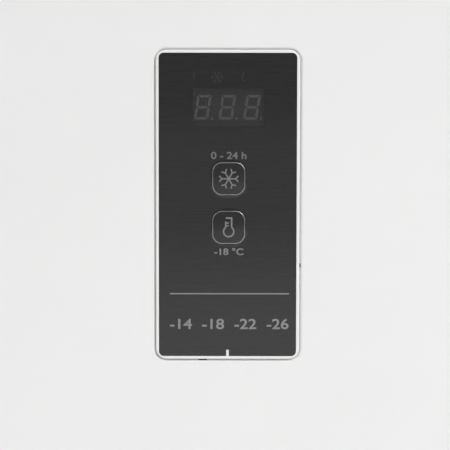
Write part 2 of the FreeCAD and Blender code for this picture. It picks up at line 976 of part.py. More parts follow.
def rear_cover():
    inner_width = cover_width - 2 * cover_flange
    inner_height = cover_height - 2 * cover_flange
    flange = plate(cover_width, cover_height, 0, cover_sheet, cover_corner)
    dome = plate(inner_width, inner_height, 0, cover_depth, cover_corner)
    dome = dome.makeFillet(cover_sheet, edges_at(dome, cover_depth))
    hollow = plate(inner_width - 2 * cover_sheet, inner_height - 2 * cover_sheet, -1,
                   cover_depth - cover_sheet, cover_corner - cover_sheet)
    cutters = [hollow]
    v = inner_height / 2 - louvre_margin
    while v >= -inner_height / 2 + 3 * louvre_margin:
        cutters.append(plate(inner_width - 2 * louvre_margin, louvre_height, 0, cover_depth + 1,
                             louvre_height / 2 - hair, 0, v))
        v -= louvre_pitch
    for u, v in cover_screw_places():
        cutters.append(disc(screw_radius + fit, -1, cover_sheet + 1, u, v))
    cutters.append(disc(gland_radius, 0, cover_depth + 1, 0, gland_height()))
    x, z = cover_place()
    return place(cut_all(flange.fuse(dome), cutters), 180, x, rear_face, z)


def gland_height():
    return cover_flange + louvre_margin - cover_height / 2


def rear_cover_screws():
    x, z = cover_place()
    one = screw(cover_sheet + shell_sheet + screw_tip)
    return group([place(one, 180, x + u, rear_face + cover_sheet, z + v) for u, v in cover_screw_places()])


def cord_gland():
    x, z = cover_place()
    neck = disc(gland_radius - fit, cover_depth - cover_sheet - gland_flange, cover_depth + lap)
    flange = disc(gland_flange_radius, cover_depth, cover_depth + gland_flange)
    lock = disc(gland_flange_radius - gland_lock_step, cover_depth - cover_sheet - 2 * gland_flange,
                cover_depth - cover_sheet)
    sleeve = Part.makeCone(gland_radius, gland_tip_radius, gland_length, V(0, 0, cover_depth + gland_flange))
    return place(join([neck, flange, lock, sleeve]), 180, x, rear_face, z + gland_height())


def side_vent_grille():
    neck_w = grille_width - 2 * grille_lip
    neck_h = grille_height - 2 * grille_lip
    face = plate(grille_width, grille_height, 0, grille_sheet, grille_lip)
    face = face.makeFillet(grille_sheet / 3, edges_at(face, grille_sheet))
    neck = plate(neck_w, neck_h, -grille_depth, lap)
    core = plate(neck_w - 2 * grille_sheet, neck_h - 2 * grille_sheet, -grille_depth - 1, 0)
    grille = face.fuse(neck.cut(core))
    slots = []
    v = neck_h / 2 - grille_sheet - grille_slot
    while v > -neck_h / 2 + grille_sheet + grille_slot / 2:
        slots.append(plate(neck_w - 4 * grille_sheet, grille_slot, -1, grille_sheet + 1,
                           grille_slot / 2 - hair, 0, v))
        v -= grille_pitch
    return place(cut_all(grille, slots), 90, half_width, front_y + grille_setback, grille_z)


# Feet, rollers and drain


def front_foot(x, y):
    body = Part.makeCone(foot_radius - foot_taper, foot_radius, floor_gap, V(x, y, 0))
    return body.fuse(disc(foot_stud_radius, floor_gap - 1, pan_top, x, y))


def cheek_gap():
    return roller_width / 2 + roller_side_gap


def roller_bracket(x, y):
    gap = cheek_gap()
    side = gap + bracket_sheet
    half = bracket_length / 2
    cheek = bracket_cheek / 2
    low = roller_radius - bracket_cheek_drop
    top = rounded_box(x - side, x + side, y - half, y + half, floor_gap - bracket_sheet, floor_gap)
    left = rounded_box(x - side, x - gap, y - cheek, y + cheek, low, floor_gap)
    right = rounded_box(x + gap, x + side, y - cheek, y + cheek, low, floor_gap)
    cutters = [along_x(axle_radius + axle_clearance, x - side - 1, x + side + 1, y, roller_radius)]
    for u, v in rivet_places(x, y):
        cutters.append(disc(rivet_radius + fit, floor_gap - bracket_sheet - 1, floor_gap + 1, u, v))
    return cut_all(join([top, left, right]), cutters)


def roller_axle(x, y):
    reach = cheek_gap() + bracket_sheet
    shaft = along_x(axle_radius, x - reach - 1, x + reach + 1, y, roller_radius)
    near = reach + fit
    far = near + axle_head_sheet
    head = along_x(axle_radius + axle_head, x - far, x - near, y, roller_radius)
    tail = along_x(axle_radius + axle_head, x + near, x + far, y, roller_radius)
    return join([shaft, head, tail])


def roller(x, y):
    half = roller_width / 2
    wheel = Part.makeCylinder(roller_radius, roller_width)
    wheel = wheel.makeFillet(roller_round, wheel.Edges)
    wheel.rotate(V(0, 0, 0), V(0, 1, 0), 90)
    wheel.translate(V(x - half, y, roller_radius))
    return wheel.cut(along_x(axle_radius + axle_clearance, x - half - 1, x + half + 1, y, roller_radius))


def roller_rivets():
    rivets = []
    low = floor_gap - bracket_sheet
    for x, y in roller_places():
        for u, v in rivet_places(x, y):
            head = disc(rivet_head_radius, low - rivet_head_height, low, u, v)
            rivets.append(head.fuse(disc(rivet_radius, low - lap, pan_top, u, v)))
    return group(rivets)


def drain_tube():
    route = drain_route()
    outer = tube(route, drain_bend, drain_bore + drain_wall)
    flange = place(disc(drain_flange_radius, 0, drain_flange), 0, drain_x, front_y, drain_z)
    bore = tube(route, drain_bend, drain_bore)
    mouth = place(disc(drain_bore, -1, drain_flange + 1), 0, drain_x, front_y, drain_z)
    return cut_all(outer.fuse(flange), [bore, mouth])


def drain_plug():
    floor = liner_floor + liner_sheet
    shank = disc(drain_bore - plug_clearance, floor - plug_length, floor + lap, drain_x, drain_y)
    flange = disc(plug_flange_radius, floor, floor + plug_flange, drain_x, drain_y)
    half = plug_grip_sheet / 2
    grip = rounded_box(drain_x - plug_grip, drain_x + plug_grip, drain_y - half, drain_y + half,
                       floor + plug_flange - lap, floor + plug_flange + plug_grip, plug_grip_round)
    return join([shank, flange, grip])


def drain_cap():
    shank = disc(drain_bore - plug_clearance, drain_flange - plug_length, drain_flange + lap)
    flange = disc(drain_flange_radius + cap_overhang, drain_flange, drain_flange + cap_flange)
    flange = flange.makeFillet(cap_flange / 3, edges_at(flange, drain_flange + cap_flange))
    face = drain_flange + cap_flange
    grip = plate(2 * drain_bore, cap_grip, face - lap, face + cap_grip, cap_grip / 3)
    return place(join([shank, flange, grip]), 0, drain_x, front_y, drain_z)


# Temperature sensor and basket


def sensor_middle():
    return step_left - liner_sheet, (liner_front + liner_rear) / 2, liner_floor + sensor_rise


def sensor_cover():
    cover = plate(sensor_width, sensor_height, 0, sensor_depth, sensor_corner)
    cover = cover.makeFillet(sensor_wall, edges_at(cover, sensor_depth))
    hollow = plate(sensor_width - 2 * sensor_wall, sensor_height - 2 * sensor_wall, -1,
                   sensor_depth - sensor_wall, sensor_corner - sensor_wall)
    slot = plate(2 * sensor_corner, sensor_wall, 0, sensor_depth + 1)
    cutters = [hollow]
    for u in (-1, 0, 1):
        for v in (-1, 1):
            copy = slot.copy()
            copy.translate(V(u * sensor_slot_pitch, v * sensor_slot_rise, 0))
            cutters.append(copy)
    x, y, z = sensor_middle()
    return place(cut_all(cover, cutters), 270, x, y, z)


def temperature_sensor():
    x, y, z = sensor_middle()
    half = sensor_length / 2
    x -= sensor_radius + fit
    return rod(sensor_radius, V(x, y - half, z), V(x, y + half, z))


def spread(low, high, spacing):
    count = max(2, int(round((high - low) / spacing)) + 1)
    return [low + (high - low) * index / (count - 1) for index in range(count)]


def spread_count(low, high, count):
    return [low + (high - low) * index / (count - 1) for index in range(count)]


def bar_heights():
    low = basket_bottom + basket_wire + basket_bar + weld_gap
    return spread_count(low, basket_top - basket_bar, basket_bars)


def basket_long_side(y):
    """Front or rear wall, with its corner wires."""
    heights = bar_heights()
    wires = [rod(basket_wire, V(x, y, heights[0]), V(x, y, heights[-1]))
             for x in spread(basket_left, basket_right, basket_spacing)]
    reach = basket_wire
    bars = [along_x(basket_bar, basket_left - reach, basket_right + reach, y, z) for z in heights]
    return join(bars + wires)


def basket_end(x):
    heights = bar_heights()
    low = basket_front + basket_bar + weld_gap
    high = basket_rear - basket_bar - weld_gap
    inner = spread(basket_front, basket_rear, basket_spacing)[1:-1]
    wires = [rod(basket_wire, V(x, y, heights[0]), V(x, y, heights[-1])) for y in inner]
    bars = [rod(basket_bar, V(x, low, z), V(x, high, z)) for z in heights]
    return join(bars + wires)


def basket_floor():
    wires = [rod(basket_wire, V(x, basket_front, basket_bottom), V(x, basket_rear, basket_bottom))
             for x in spread(basket_left, basket_right, basket_spacing)]
    under = basket_bottom - basket_wire
    bars = [along_x(basket_bar, basket_left - basket_wire, basket_right + basket_wire, y, under)
            for y in spread_count(basket_front + basket_spacing, basket_rear - basket_spacing, basket_bars)]
    return join(bars + wires)


def wire_basket():
    walls = [basket_long_side(basket_front), basket_long_side(basket_rear)]
    walls += [basket_end(basket_left), basket_end(basket_right), basket_floor()]
    return group(walls)


def basket_hangers():
    middle = (basket_left + basket_right) / 2
    rest = cabinet_height + fit + hanger_wire
    low = basket_top - hanger_leg
    out = basket_bar + hanger_wire + weld_gap
    hangers = []
    for side, wall, edge in ((-1, basket_front, mouth_front), (1, basket_rear, mouth_rear)):
        y = wall + side * out
        for x in (middle - hanger_spacing / 2, middle + hanger_spacing / 2):
            points = [V(x, y, low), V(x, y, rest), V(x, edge + side * hanger_reach, rest)]
            hangers.append(tube(points, hanger_bend, hanger_wire))
    return group(hangers)


# Lid


def lid_block(inset, z0, z1, edge=0.0):
    half = lid_half - inset
    block = rounded_box(-half, half, lid_front + inset, lid_rear - inset, z0, z1, lid_corner - inset)
    if edge > 0:
        block = block.makeFillet(edge, edges_at(block, z1))
    return block


def leaf_screw_holes(radius):
    holes = []
    reach = hinge_sheet + lid_sheet + backing_sheet + screw_tip + pocket_gap
    hole = disc(radius, -reach, hinge_sheet + 1)
    for middle in hinge_middles():
        for u, z in leaf_screw_places():
            holes.append(place(hole, 180, middle + u, lid_rear, z))
    return holes


def handle_middle():
    return lid_top - handle_drop - handle_height / 2


def handle_screw_holes(radius):
    hole = disc(radius, -lid_sheet - 2 * screw_tip - pocket_gap, handle_back + 1)
    return [place(hole, 0, side * handle_screw_spacing, lid_front, handle_middle()) for side in (-1, 0, 1)]


def lid_skin():
    skin = lid_block(0, lid_bottom, lid_top, lid_edge)
    inside = lid_block(lid_sheet, lid_bottom - 1, lid_top - lid_sheet, lid_edge - lid_sheet)
    holes = leaf_screw_holes(screw_radius + fit) + handle_screw_holes(screw_radius + fit)
    return cut_all(skin, [inside] + holes)


def bulge(inset, z0, z1):
    half = mouth_half - bulge_inset - inset
    front = mouth_front + bulge_inset + inset
    rear = mouth_rear - bulge_inset - inset
    return rounded_box(-half, half, front, rear, z0, z1, bulge_corner - inset)


def lid_liner():
    sheet = lid_block(lid_sheet, lid_bottom, lid_bottom + lid_liner_sheet)
    low = lid_bottom - bulge_depth
    tray = bulge(0, low, lid_bottom + lid_liner_sheet)
    tray = tray.makeFillet(2 * lid_liner_sheet, edges_at(tray, low))
    hollow = bulge(lid_liner_sheet, low + lid_liner_sheet, lid_bottom + lid_liner_sheet + 1)
    return sheet.fuse(tray).cut(hollow)


def lid_foam():
    low = lid_bottom + lid_liner_sheet
    block = lid_block(lid_sheet, low, lid_top - lid_sheet, lid_edge - lid_sheet)
    core = bulge(lid_liner_sheet, low - bulge_depth, low)
    depth = backing_sheet + screw_tip + pocket_gap
    half = hinge_width / 2 + pocket_gap
    pockets = []
    for middle in hinge_middles():
        pockets.append(rounded_box(middle - half, middle + half, lid_rear - lid_sheet - depth, lid_rear,
                                   lid_bottom + lid_liner_sheet, lid_top - lid_edge))
    return cut_all(block.fuse(core), pockets + handle_screw_holes(screw_radius + fit))


def gasket_ring(width, z0, z1):
    """Ring on the middle line of the gasket."""
    middle = gasket_inset + gasket_width / 2
    out = middle - width / 2
    corner = lid_corner
    half = half_width - out
    outer = rounded_box(-half, half, front_y + out, rear_y - out, z0, z1, corner + width / 2)
    half -= width
    return outer.cut(rounded_box(-half, half, front_y + out + width, rear_y - out - width, z0 - 1, z1 + 1,
                                 corner - width / 2))


def lid_gasket():
    neck_top = lid_bottom - gasket_base
    neck_low = neck_top - gasket_neck_height
    base = gasket_ring(gasket_width, neck_top, lid_bottom)
    neck = gasket_ring(gasket_neck, neck_low, neck_top)
    bag = gasket_ring(gasket_bag, cabinet_height + gasket_rest, neck_low)
    return join([base, neck, bag])


def lid_handle():
    body = plate(handle_width, handle_height, 0, handle_reach, handle_round)
    body = body.makeFillet(handle_round, edges_at(body, handle_reach))
    width = handle_width - 2 * handle_wall
    low = -handle_height / 2 - 1
    high = handle_height / 2 - handle_wall
    grip = rounded_box(-width / 2, width / 2, low, high, handle_back, handle_reach - handle_wall, handle_wall)
    foot = rounded_box(-width / 2, width / 2, low, 0, handle_back, handle_reach - handle_wall)
    body = cut_all(body, [grip, foot])
    return place(body, 0, 0, lid_front, handle_middle()).cut(handle_screw_holes(screw_radius + fit))


# Hinges, drawn round their axis: x along the pin, y to the rear and z up


def at_hinges(shape):
    """One copy at each hinge."""
    copies = []
    for middle in hinge_middles():
        copy = shape.copy()
        copy.translate(V(middle, axis_y, axis_z))
        copies.append(copy)
    return group(copies)


def knuckle_start():
    return knuckle_clearance - ear_gap / 2


def spring_start():
    return knuckle_start() + knuckle_length + spring_wire


def spring_end():
    return spring_start() + spring_turns * spring_pitch


def hinge_base():
    face = rear_face - axis_y
    front = face + hinge_sheet
    top = hinge_top - axis_z
    half = hinge_width / 2
    back = rounded_box(-half, half, face, front, top - hinge_base_height, top)
    parts = [back]
    r = knuckle_radius
    outline = [(front - lap, top - ear_root), (front - lap, top), (-r, -r), (-r, 0), (r, 0), (r, -2 * r)]
    outline.append((front + 2 * hinge_sheet, top - ear_root))
    for x in (-ear_gap / 2 - hinge_sheet, ear_gap / 2):
        corners = [V(x, y, z) for y, z in outline + outline[:1]]
        parts.append(Part.Face(Part.makePolygon(corners)).extrude(V(hinge_sheet, 0, 0)))
        parts.append(along_x(r, x, x + hinge_sheet, 0, 0))
    wall = spring_wire / 2 + keeper_wall
    low = top - 3 * keeper_height
    parts.append(rounded_box(spring_end() - wall, spring_end() + wall, front - lap, wall - spring_mean,
                             low, low + keeper_height))
    cutters = [along_x(pin_radius + pin_clearance, -half, half, 0, 0)]
    cutters.append(disc(spring_wire / 2 + fit, low - 1, low + keeper_height + 1, spring_end(), -spring_mean))
    hole = disc(screw_radius + fit, -hinge_sheet, 1)
    for u, z in hinge_screw_places():
        cutters.append(place(hole, 180, u, front, z - axis_z))
    return cut_all(join(parts), cutters)


def hinge_pin():
    reach = ear_gap / 2 + hinge_sheet
    pin = along_x(pin_radius, -reach - fit, reach + fit + pin_head, 0, 0)
    head = along_x(pin_radius + pin_head, -reach - fit - pin_head, -reach - fit, 0, 0)
    clip = along_x(pin_radius + pin_head, reach + fit, reach + fit + pin_head / 2, 0, 0)
    return join([pin, head, clip])


def hinge_leaf():
    low = lid_bottom + leaf_margin - axis_z
    high = lid_top - lid_edge - leaf_margin - axis_z
    half = hinge_width / 2
    face = -pin_standoff
    start = knuckle_start()
    end = start + knuckle_length
    leaf = rounded_box(-half, half, face - hinge_sheet, face, low, high)
    web = rounded_box(start, end, face - lap, 0, low, knuckle_radius)
    knuckle = along_x(knuckle_radius, start, end, 0, 0)
    wall = spring_wire / 2 + keeper_wall
    rise = knuckle_radius + keeper_wall
    keeper = rounded_box(spring_start() - wall, spring_start() + wall, face - lap, wall - spring_mean,
                         rise, rise + keeper_height)
    cutters = [along_x(pin_radius + pin_clearance, start - 1, end + 1, 0, 0)]
    cutters.append(disc(spring_wire / 2 + fit, rise - 1, rise + keeper_height + 1,
                        spring_start(), -spring_mean))
    hole = disc(screw_radius + fit, -hinge_sheet - 1, 1)
    for u, z in leaf_screw_places():
        cutters.append(place(hole, 180, u, face, z - axis_z))
    return cut_all(join([leaf, web, knuckle, keeper]), cutters)


def arc_between(start, heading, end):
    """Arc from start to end that leaves along the heading."""
    chord = end - start
    lean = heading.getAngle(chord)
    across = chord.cross(heading).cross(chord)
    middle = start + chord * 0.5 - unit(across) * (-0.5 * chord.Length * math.tan(lean / 2))
    return Part.Arc(start, middle, end).toShape()


def biarc(start, start_heading, end, end_heading):
    chord = end - start
    both = start_heading + end_heading
    a = 2 * start_heading.dot(end_heading) - 2
    b = -2 * chord.dot(both)
    c = chord.dot(chord)
    reach = (-b - math.sqrt(b * b - 4 * a * c)) / (2 * a)
    knee = start + start_heading * reach
    elbow = end - end_heading * reach
    joint = (knee + elbow) * 0.5
    return [arc_between(start, start_heading, joint), arc_between(joint, unit(elbow - knee), end)]


def spring_point(quarter):
    angle = math.pi + quarter * math.pi / 2
    x = spring_start() + quarter * spring_pitch / 4
    point = V(x, spring_mean * math.cos(angle), spring_mean * math.sin(angle))
    round_part = spring_mean * math.pi / 2
    climb = 0 if quarter in (0, 4 * spring_turns) else spring_pitch / 4
    heading = V(climb, -round_part * math.sin(angle), round_part * math.cos(angle))
    return point, unit(heading)


def hinge_spring():
    """Torsion spring round the pin, one leg up in the leaf and one down in the base."""
    rise = knuckle_radius + 2 * keeper_wall + 2 * keeper_height
    fall = hinge_top - axis_z - 3 * keeper_height - keeper_wall
    points = [spring_point(quarter) for quarter in range(4 * spring_turns + 1)]
    first, first_heading = points[0]
    last, last_heading = points[-1]
    top = first - first_heading * rise
    edges = [Part.makeLine(top, first)]
    for (p, t), (q, u) in zip(points, points[1:]):
        edges += biarc(p, t, q, u)
    edges.append(Part.makeLine(last, last - last_heading * fall))
    path = Part.Wire(edges)
    print_least_gap("hinge_spring", path, spring_wire / 2, 0.5, 3 * spring_mean)
    return sweep(path, spring_wire / 2, top, first_heading)


def hinge_screws():
    one = screw(hinge_sheet + shell_sheet + backing_sheet + screw_tip)
    screws = []
    for middle in hinge_middles():
        for u, z in hinge_screw_places():
            screws.append(place(one, 180, middle + u, rear_face + hinge_sheet, z))
    return group(screws)


def lid_screws():
    """Screws of the hinge leaves and, shorter, of the handle."""
    long_one = screw(hinge_sheet + lid_sheet + backing_sheet + screw_tip)
    short_one = screw(handle_back + lid_sheet + screw_tip)
    screws = []
    for middle in hinge_middles():
        for u, z in leaf_screw_places():
            screws.append(place(long_one, 180, middle + u, lid_rear + hinge_sheet, z))
    for side in (-1, 0, 1):
        x = side * handle_screw_spacing
        screws.append(place(short_one, 0, x, lid_front - handle_back, handle_middle()))
    return group(screws)


def cabinet_backing_plates():
    half = hinge_width / 2
    hole = disc(screw_radius + fit, -backing_sheet - 1, 1)
    plates = []
    for middle in hinge_middles():
        backing = rounded_box(middle - half, middle + half, rear_inside - backing_sheet, rear_inside,
                              hinge_top - hinge_base_height, hinge_top)
        holes = [place(hole, 180, middle + u, rear_inside, z) for u, z in hinge_screw_places()]
        plates.append(backing.cut(holes))
    return group(plates)


def lid_backing_plates():
    half = hinge_width / 2
    face = lid_rear - lid_sheet
    hole = disc(screw_radius + fit, -backing_sheet - 1, 1)
    plates = []
    for middle in hinge_middles():
        backing = rounded_box(middle - half, middle + half, face - backing_sheet, face,
                              lid_bottom + lid_liner_sheet, lid_top - lid_edge)
        plates.append(backing.cut([place(hole, 180, middle + u, face, z) for u, z in leaf_screw_places()]))
    return group(plates)


# Control panel, drawn from the middle of its frame: u to the right, v up and w outward


def on_panel(shape):
    return place(shape, 0, panel_x, front_y, panel_z)


def key_places():
    return [(print_shift, upper_key_rise), (print_shift, -lower_key_drop)]


def boss_places():
    u = window_width / 2 - boss_size / 2
    v = window_height / 2 - boss_size / 2
    return [(a * u, b * v) for a in (-1, 1) for b in (-1, 1)]


def control_frame():
    flange = plate(panel_width, panel_height, flange_back, panel_proud, panel_corner)
    flange = flange.makeFillet(panel_round, edges_at(flange, panel_proud))
    neck = plate(neck_width, neck_height, neck_rear, flange_back + neck_lap, neck_corner)
    clip_front = flange_back - shell_sheet - fit
    clips = []
    for side in (-1, 1):
        for rise in (-clip_spacing / 2, clip_spacing / 2):
            u = side * (neck_width / 2 + clip_reach / 2 - neck_lap)
            clips.append(plate(clip_reach + 2 * neck_lap, clip_width, clip_front - clip_depth, clip_front,
                               0, u, rise))
    recess = plate(overlay_width + 2 * overlay_gap, overlay_height + 2 * overlay_gap, overlay_back,
                   panel_proud + 1, overlay_corner + overlay_gap)
    window = plate(window_width, window_height, neck_rear - 1, panel_proud + 1, overlay_corner)
    frame = cut_all(join([flange, neck] + clips), [recess, window])
    tab = plate(tab_width, tab_height + overlay_gap, overlay_back - neck_lap, overlay_front, 0, tab_shift,
                (tab_height - overlay_gap - overlay_height) / 2)
    bosses = []
    for u, v in boss_places():
        boss = plate(boss_size + 2 * neck_lap, boss_size + 2 * neck_lap, board_front, flange_back, 0, u, v)
        bosses.append(boss.cut(disc(screw_radius / 2 + fit, board_front - 1, flange_back - 1, u, v)))
    return on_panel(join([frame, tab] + bosses))


def control_overlay():
    sheet = plate(overlay_width, overlay_height, overlay_back, overlay_front, overlay_corner)
    tall = overlay_front + 1
    cutters = [plate(display_width + 2 * lens_gap, display_height + 2 * lens_gap, overlay_back - 1, tall,
                     0, display_shift, display_rise)]
    for u, v in key_places():
        size = key_size + 2 * key_gap
        cutters.append(plate(size, size, overlay_back - 1, tall, key_corner + key_gap, u, v))
    cutters.append(plate(tab_width + 2 * overlay_gap, 2 * (tab_height + overlay_gap), overlay_back - 1, tall,
                         0, tab_shift, -overlay_height / 2))
    return on_panel(cut_all(sheet, cutters))


def display_lens():
    return on_panel(plate(display_width, display_height, overlay_back, overlay_front,
                          0, display_shift, display_rise))


def display_module():
    return on_panel(plate(display_width, display_height, board_front, display_front,
                          0, display_shift, display_rise))


def slanted(corners):
    lean = math.tan(math.radians(digit_slant))
    points = [V(x + y * lean, y, display_front) for x, y in corners + corners[:1]]
    return Part.Face(Part.makePolygon(points)).extrude(V(0, 0, segment_sheet))


def digit():
    """Seven bars with mitred corners and a point, round the middle of the digit."""
    side = digit_width / 2
    high = digit_height / 2
    inner = side - segment_stroke
    half = segment_stroke / 2
    gap = segment_gap
    middle = [(-inner - half + gap, 0), (gap - inner, half), (inner - gap, half)]
    middle += [(-x, -y) for x, y in middle]
    bars = [slanted(middle)]
    for up in (-1, 1):
        level = [(segment_corner - side, up * high), (side - segment_corner, up * high)]
        level += [(inner - gap, up * (high - segment_stroke)), (gap - inner, up * (high - segment_stroke))]
        bars.append(slanted(level))
        for turn in (-1, 1):
            upright = [(turn * side, up * (high - segment_corner)), (turn * side, up * (half + gap))]
            upright += [(turn * (side - half), up * gap), (turn * inner, up * (half + gap))]
            upright.append((turn * inner, up * (high - segment_stroke - gap)))
            bars.append(slanted(upright))
    bars.append(disc(point_radius, display_front, display_front + segment_sheet,
                     point_offset, point_radius - high))
    return bars


def display_segments():
    bars = []
    for place_number in (-1, 0, 1):
        for piece in digit():
            piece.translate(V(display_shift + digit_shift + place_number * digit_pitch, display_rise, 0))
            bars.append(piece)
    return on_panel(group(bars))


def key(u, v):
    top = overlay_front + key_raise
    flange_top = overlay_back - fit
    cap = plate(key_size, key_size, flange_top - key_flange_sheet / 2, top, key_corner, u, v)
    reach = key_size / 2
    ball_radius = (reach * reach + key_crown * key_crown) / (2 * key_crown)
    ball = Part.makeSphere(ball_radius, V(u, v, top - ball_radius), V(-1, 0, 0))
    cap = cap.common(ball)
    cap = cap.makeFillet(key_edge, [edge for edge in cap.Edges if edge.BoundBox.ZMin > overlay_front])
    size = key_size + 2 * key_flange
    flange = plate(size, size, flange_top - key_flange_sheet, flange_top, key_corner, u, v)
    stem_end = switch_front + key_travel + switch_clearance
    stem = disc(key_stem_radius, stem_end, flange_top - key_flange_sheet / 2, u, v)
    return on_panel(join([cap, flange, stem]))


def key_switches():
    switches = []
    for u, v in key_places():
        body = plate(switch_size, switch_size, board_front, board_front + switch_body, switch_corner, u, v)
        plunger = disc(switch_plunger_radius, board_front + switch_body / 2, switch_front, u, v)
        switches.append(body.fuse(plunger))
    return on_panel(group(switches))


def control_board():
    back = board_front - board_sheet
    board = plate(window_width - 2 * board_gap, window_height - 2 * board_gap,
                  back, board_front, board_corner)
    holes = [disc(screw_radius / 2 + fit, back - 1, 1, u, v) for u, v in boss_places()]
    return on_panel(cut_all(board, holes))


def control_screws():
    back = board_front - board_sheet
    screws = []
    for u, v in boss_places():
        head = disc(screw_radius, back - 0.6 * neck_margin, back, u, v)
        shank = disc(screw_radius / 2, back - 0.3 * neck_margin, board_front + board_screw_bite, u, v)
        screws.append(head.fuse(shank))
    return on_panel(group(screws))


def housing_rear():
    return neck_rear - housing_depth


def control_housing():
    body = plate(neck_width, neck_height, housing_rear(), neck_rear, neck_corner)
    hollow = plate(neck_width - 2 * housing_wall, neck_height - 2 * housing_wall,
                   housing_rear() + housing_wall, neck_rear + 1, neck_corner - housing_wall / 2)
    return on_panel(body.cut(hollow))


def control_cable():
    start = front_y - housing_rear()
    end = terminal_front()
    high = panel_z - cable_drop
    low = compressor_bottom + terminal_rise + terminal_height - 4 * cable_radius
    run = end - start
    points = [V(panel_x, start, high), V(panel_x, start + 0.2 * run, high)]
    points.append(V(panel_x - cable_sway, start + 0.45 * run, low + cable_lift))
    points.append(V(panel_x - cable_swing, start + 0.7 * run, low))
    points += [V(panel_x, start + 0.85 * run, low), V(panel_x, end, low)]
    return tube(points, cable_bend, cable_radius)


def build():
    nodes = {
        "outer_shell": outer_shell(),
        "rear_panel": rear_panel(),
        "base_pan": base_pan(),
        "foam_insulation": foam_insulation(),
        "inner_liner": inner_liner(),
        "top_rim": top_rim(),
        "evaporator_coil": evaporator_coil(),
        "condenser_coil": condenser_coil(),
        "compressor": compressor(),
        "compressor_feet": compressor_feet(),
        "compressor_grommets": compressor_grommets(),
        "compressor_bolts": compressor_bolts(),
        "terminal_cover": terminal_cover(),
        "suction_pipe": suction_pipe(),
        "discharge_pipe": discharge_pipe(),
        "filter_drier": filter_drier(),
        "capillary_tube": capillary_tube(),
        "rear_cover": rear_cover(),
        "rear_cover_screws": rear_cover_screws(),
        "cord_gland": cord_gland(),
        "side_vent_grille": side_vent_grille(),
        "roller_brackets": group([roller_bracket(x, y) for x, y in roller_places()]),
        "roller_axles": group([roller_axle(x, y) for x, y in roller_places()]),
        "roller_rivets": roller_rivets(),
        "front_feet": group([front_foot(x, y) for x, y in foot_places()]),
        "drain_tube": drain_tube(),
        "drain_plug": drain_plug(),
        "drain_cap": drain_cap(),
        "sensor_cover": sensor_cover(),
        "temperature_sensor": temperature_sensor(),
        "wire_basket": wire_basket(),
        "basket_hangers": basket_hangers(),
        "lid_skin": lid_skin(),
        "lid_liner": lid_liner(),
        "lid_foam": lid_foam(),
        "lid_gasket": lid_gasket(),
        "lid_handle": lid_handle(),
        "hinge_bases": at_hinges(hinge_base()),
        "hinge_leaves": at_hinges(hinge_leaf()),
        "hinge_pins": at_hinges(hinge_pin()),
        "hinge_springs": at_hinges(hinge_spring()),
        "hinge_screws": hinge_screws(),
        "lid_screws": lid_screws(),
        "cabinet_backing_plates": cabinet_backing_plates(),
        "lid_backing_plates": lid_backing_plates(),
        "control_frame": control_frame(),
        "control_overlay": control_overlay(),
        "display_lens": display_lens(),
        "display_module": display_module(),
        "display_segments": display_segments(),
        "key_switches": key_switches(),
        "control_board": control_board(),
        "control_screws": control_screws(),
        "control_housing": control_housing(),
        "control_cable": control_cable(),
    }
    upper, lower = key_places()
    nodes["fast_freeze_button"] = key(*upper)
    nodes["temperature_button"] = key(*lower)
    left, right = roller_places()
    nodes["roller_left"] = roller(*left)
    nodes["roller_right"] = roller(*right)
    return nodes


def main():
    os.makedirs("parts", exist_ok=True)
    for node, shape in build().items():
        shape.exportStep("parts/" + node + ".step")
        volume = round(shape.Volume / 1000, 2)
        print(node, "solids", len(shape.Solids), "valid", shape.isValid(), "cm3", volume)


if __name__ == "__main__":
    main()
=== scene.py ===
import math
import bpy
import bmesh
from mathutils import Matrix, Vector


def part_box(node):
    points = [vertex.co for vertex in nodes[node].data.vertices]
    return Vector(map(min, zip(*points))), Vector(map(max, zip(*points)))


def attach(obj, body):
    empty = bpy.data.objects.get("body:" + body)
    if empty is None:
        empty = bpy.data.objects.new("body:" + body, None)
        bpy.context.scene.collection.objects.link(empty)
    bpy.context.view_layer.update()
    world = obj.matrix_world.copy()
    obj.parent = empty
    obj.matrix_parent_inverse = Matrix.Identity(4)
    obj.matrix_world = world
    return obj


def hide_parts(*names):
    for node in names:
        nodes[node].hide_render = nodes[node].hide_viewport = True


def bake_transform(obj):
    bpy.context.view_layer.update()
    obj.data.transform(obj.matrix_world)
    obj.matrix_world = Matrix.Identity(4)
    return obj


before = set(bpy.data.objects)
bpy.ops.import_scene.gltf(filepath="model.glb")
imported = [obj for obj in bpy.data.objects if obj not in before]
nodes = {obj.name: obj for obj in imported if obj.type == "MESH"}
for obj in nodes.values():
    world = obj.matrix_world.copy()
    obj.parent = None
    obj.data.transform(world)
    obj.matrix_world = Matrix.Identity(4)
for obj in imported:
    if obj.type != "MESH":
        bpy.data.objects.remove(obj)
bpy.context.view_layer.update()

mm = 0.001
print("frame loaded:", len(nodes), "nodes")


def toLinear(code):
    parts = [int(code[i:i + 2], 16) / 255 for i in (1, 3, 5)]
    # the curve of sRGB, with its straight foot for the darkest tones
    return tuple(p / 12.92 if p <= 0.04045 else ((p + 0.055) / 1.055) ** 2.4 for p in parts) + (1.0,)


def addNode(tree, kind, inputs=None, **settings):
    node = tree.nodes.new("ShaderNode" + kind)
    for name, value in settings.items():
        setattr(node, name, value)
    for name, value in (inputs or {}).items():
        if isinstance(value, bpy.types.NodeSocket):
            tree.links.new(value, node.inputs[name])
        else:
            node.inputs[name].default_value = value
    return node


def startFinish(name):
    finish = bpy.data.materials.new(name)
    finish.use_nodes = True
    finish.node_tree.nodes.clear()
    return finish, finish.node_tree


def perMetre(size):
    return 1 / (size * mm)  # noise cells per metre for a grain this many mm across


# Sockets of a Mix node are told apart by number: a share, two numbers, two colours and the mixed colour
mixShare, mixLow, mixHigh = 0, 2, 3
mixDark, mixLight, mixColour = 6, 7, 2
cloudSpan = {"From Min": 0.25, "From Max": 0.75}  # most of a soft noise lies in here
hairSpan = {"From Min": 0.3, "From Max": 0.7}  # a narrower part, so that the hairlines stand out

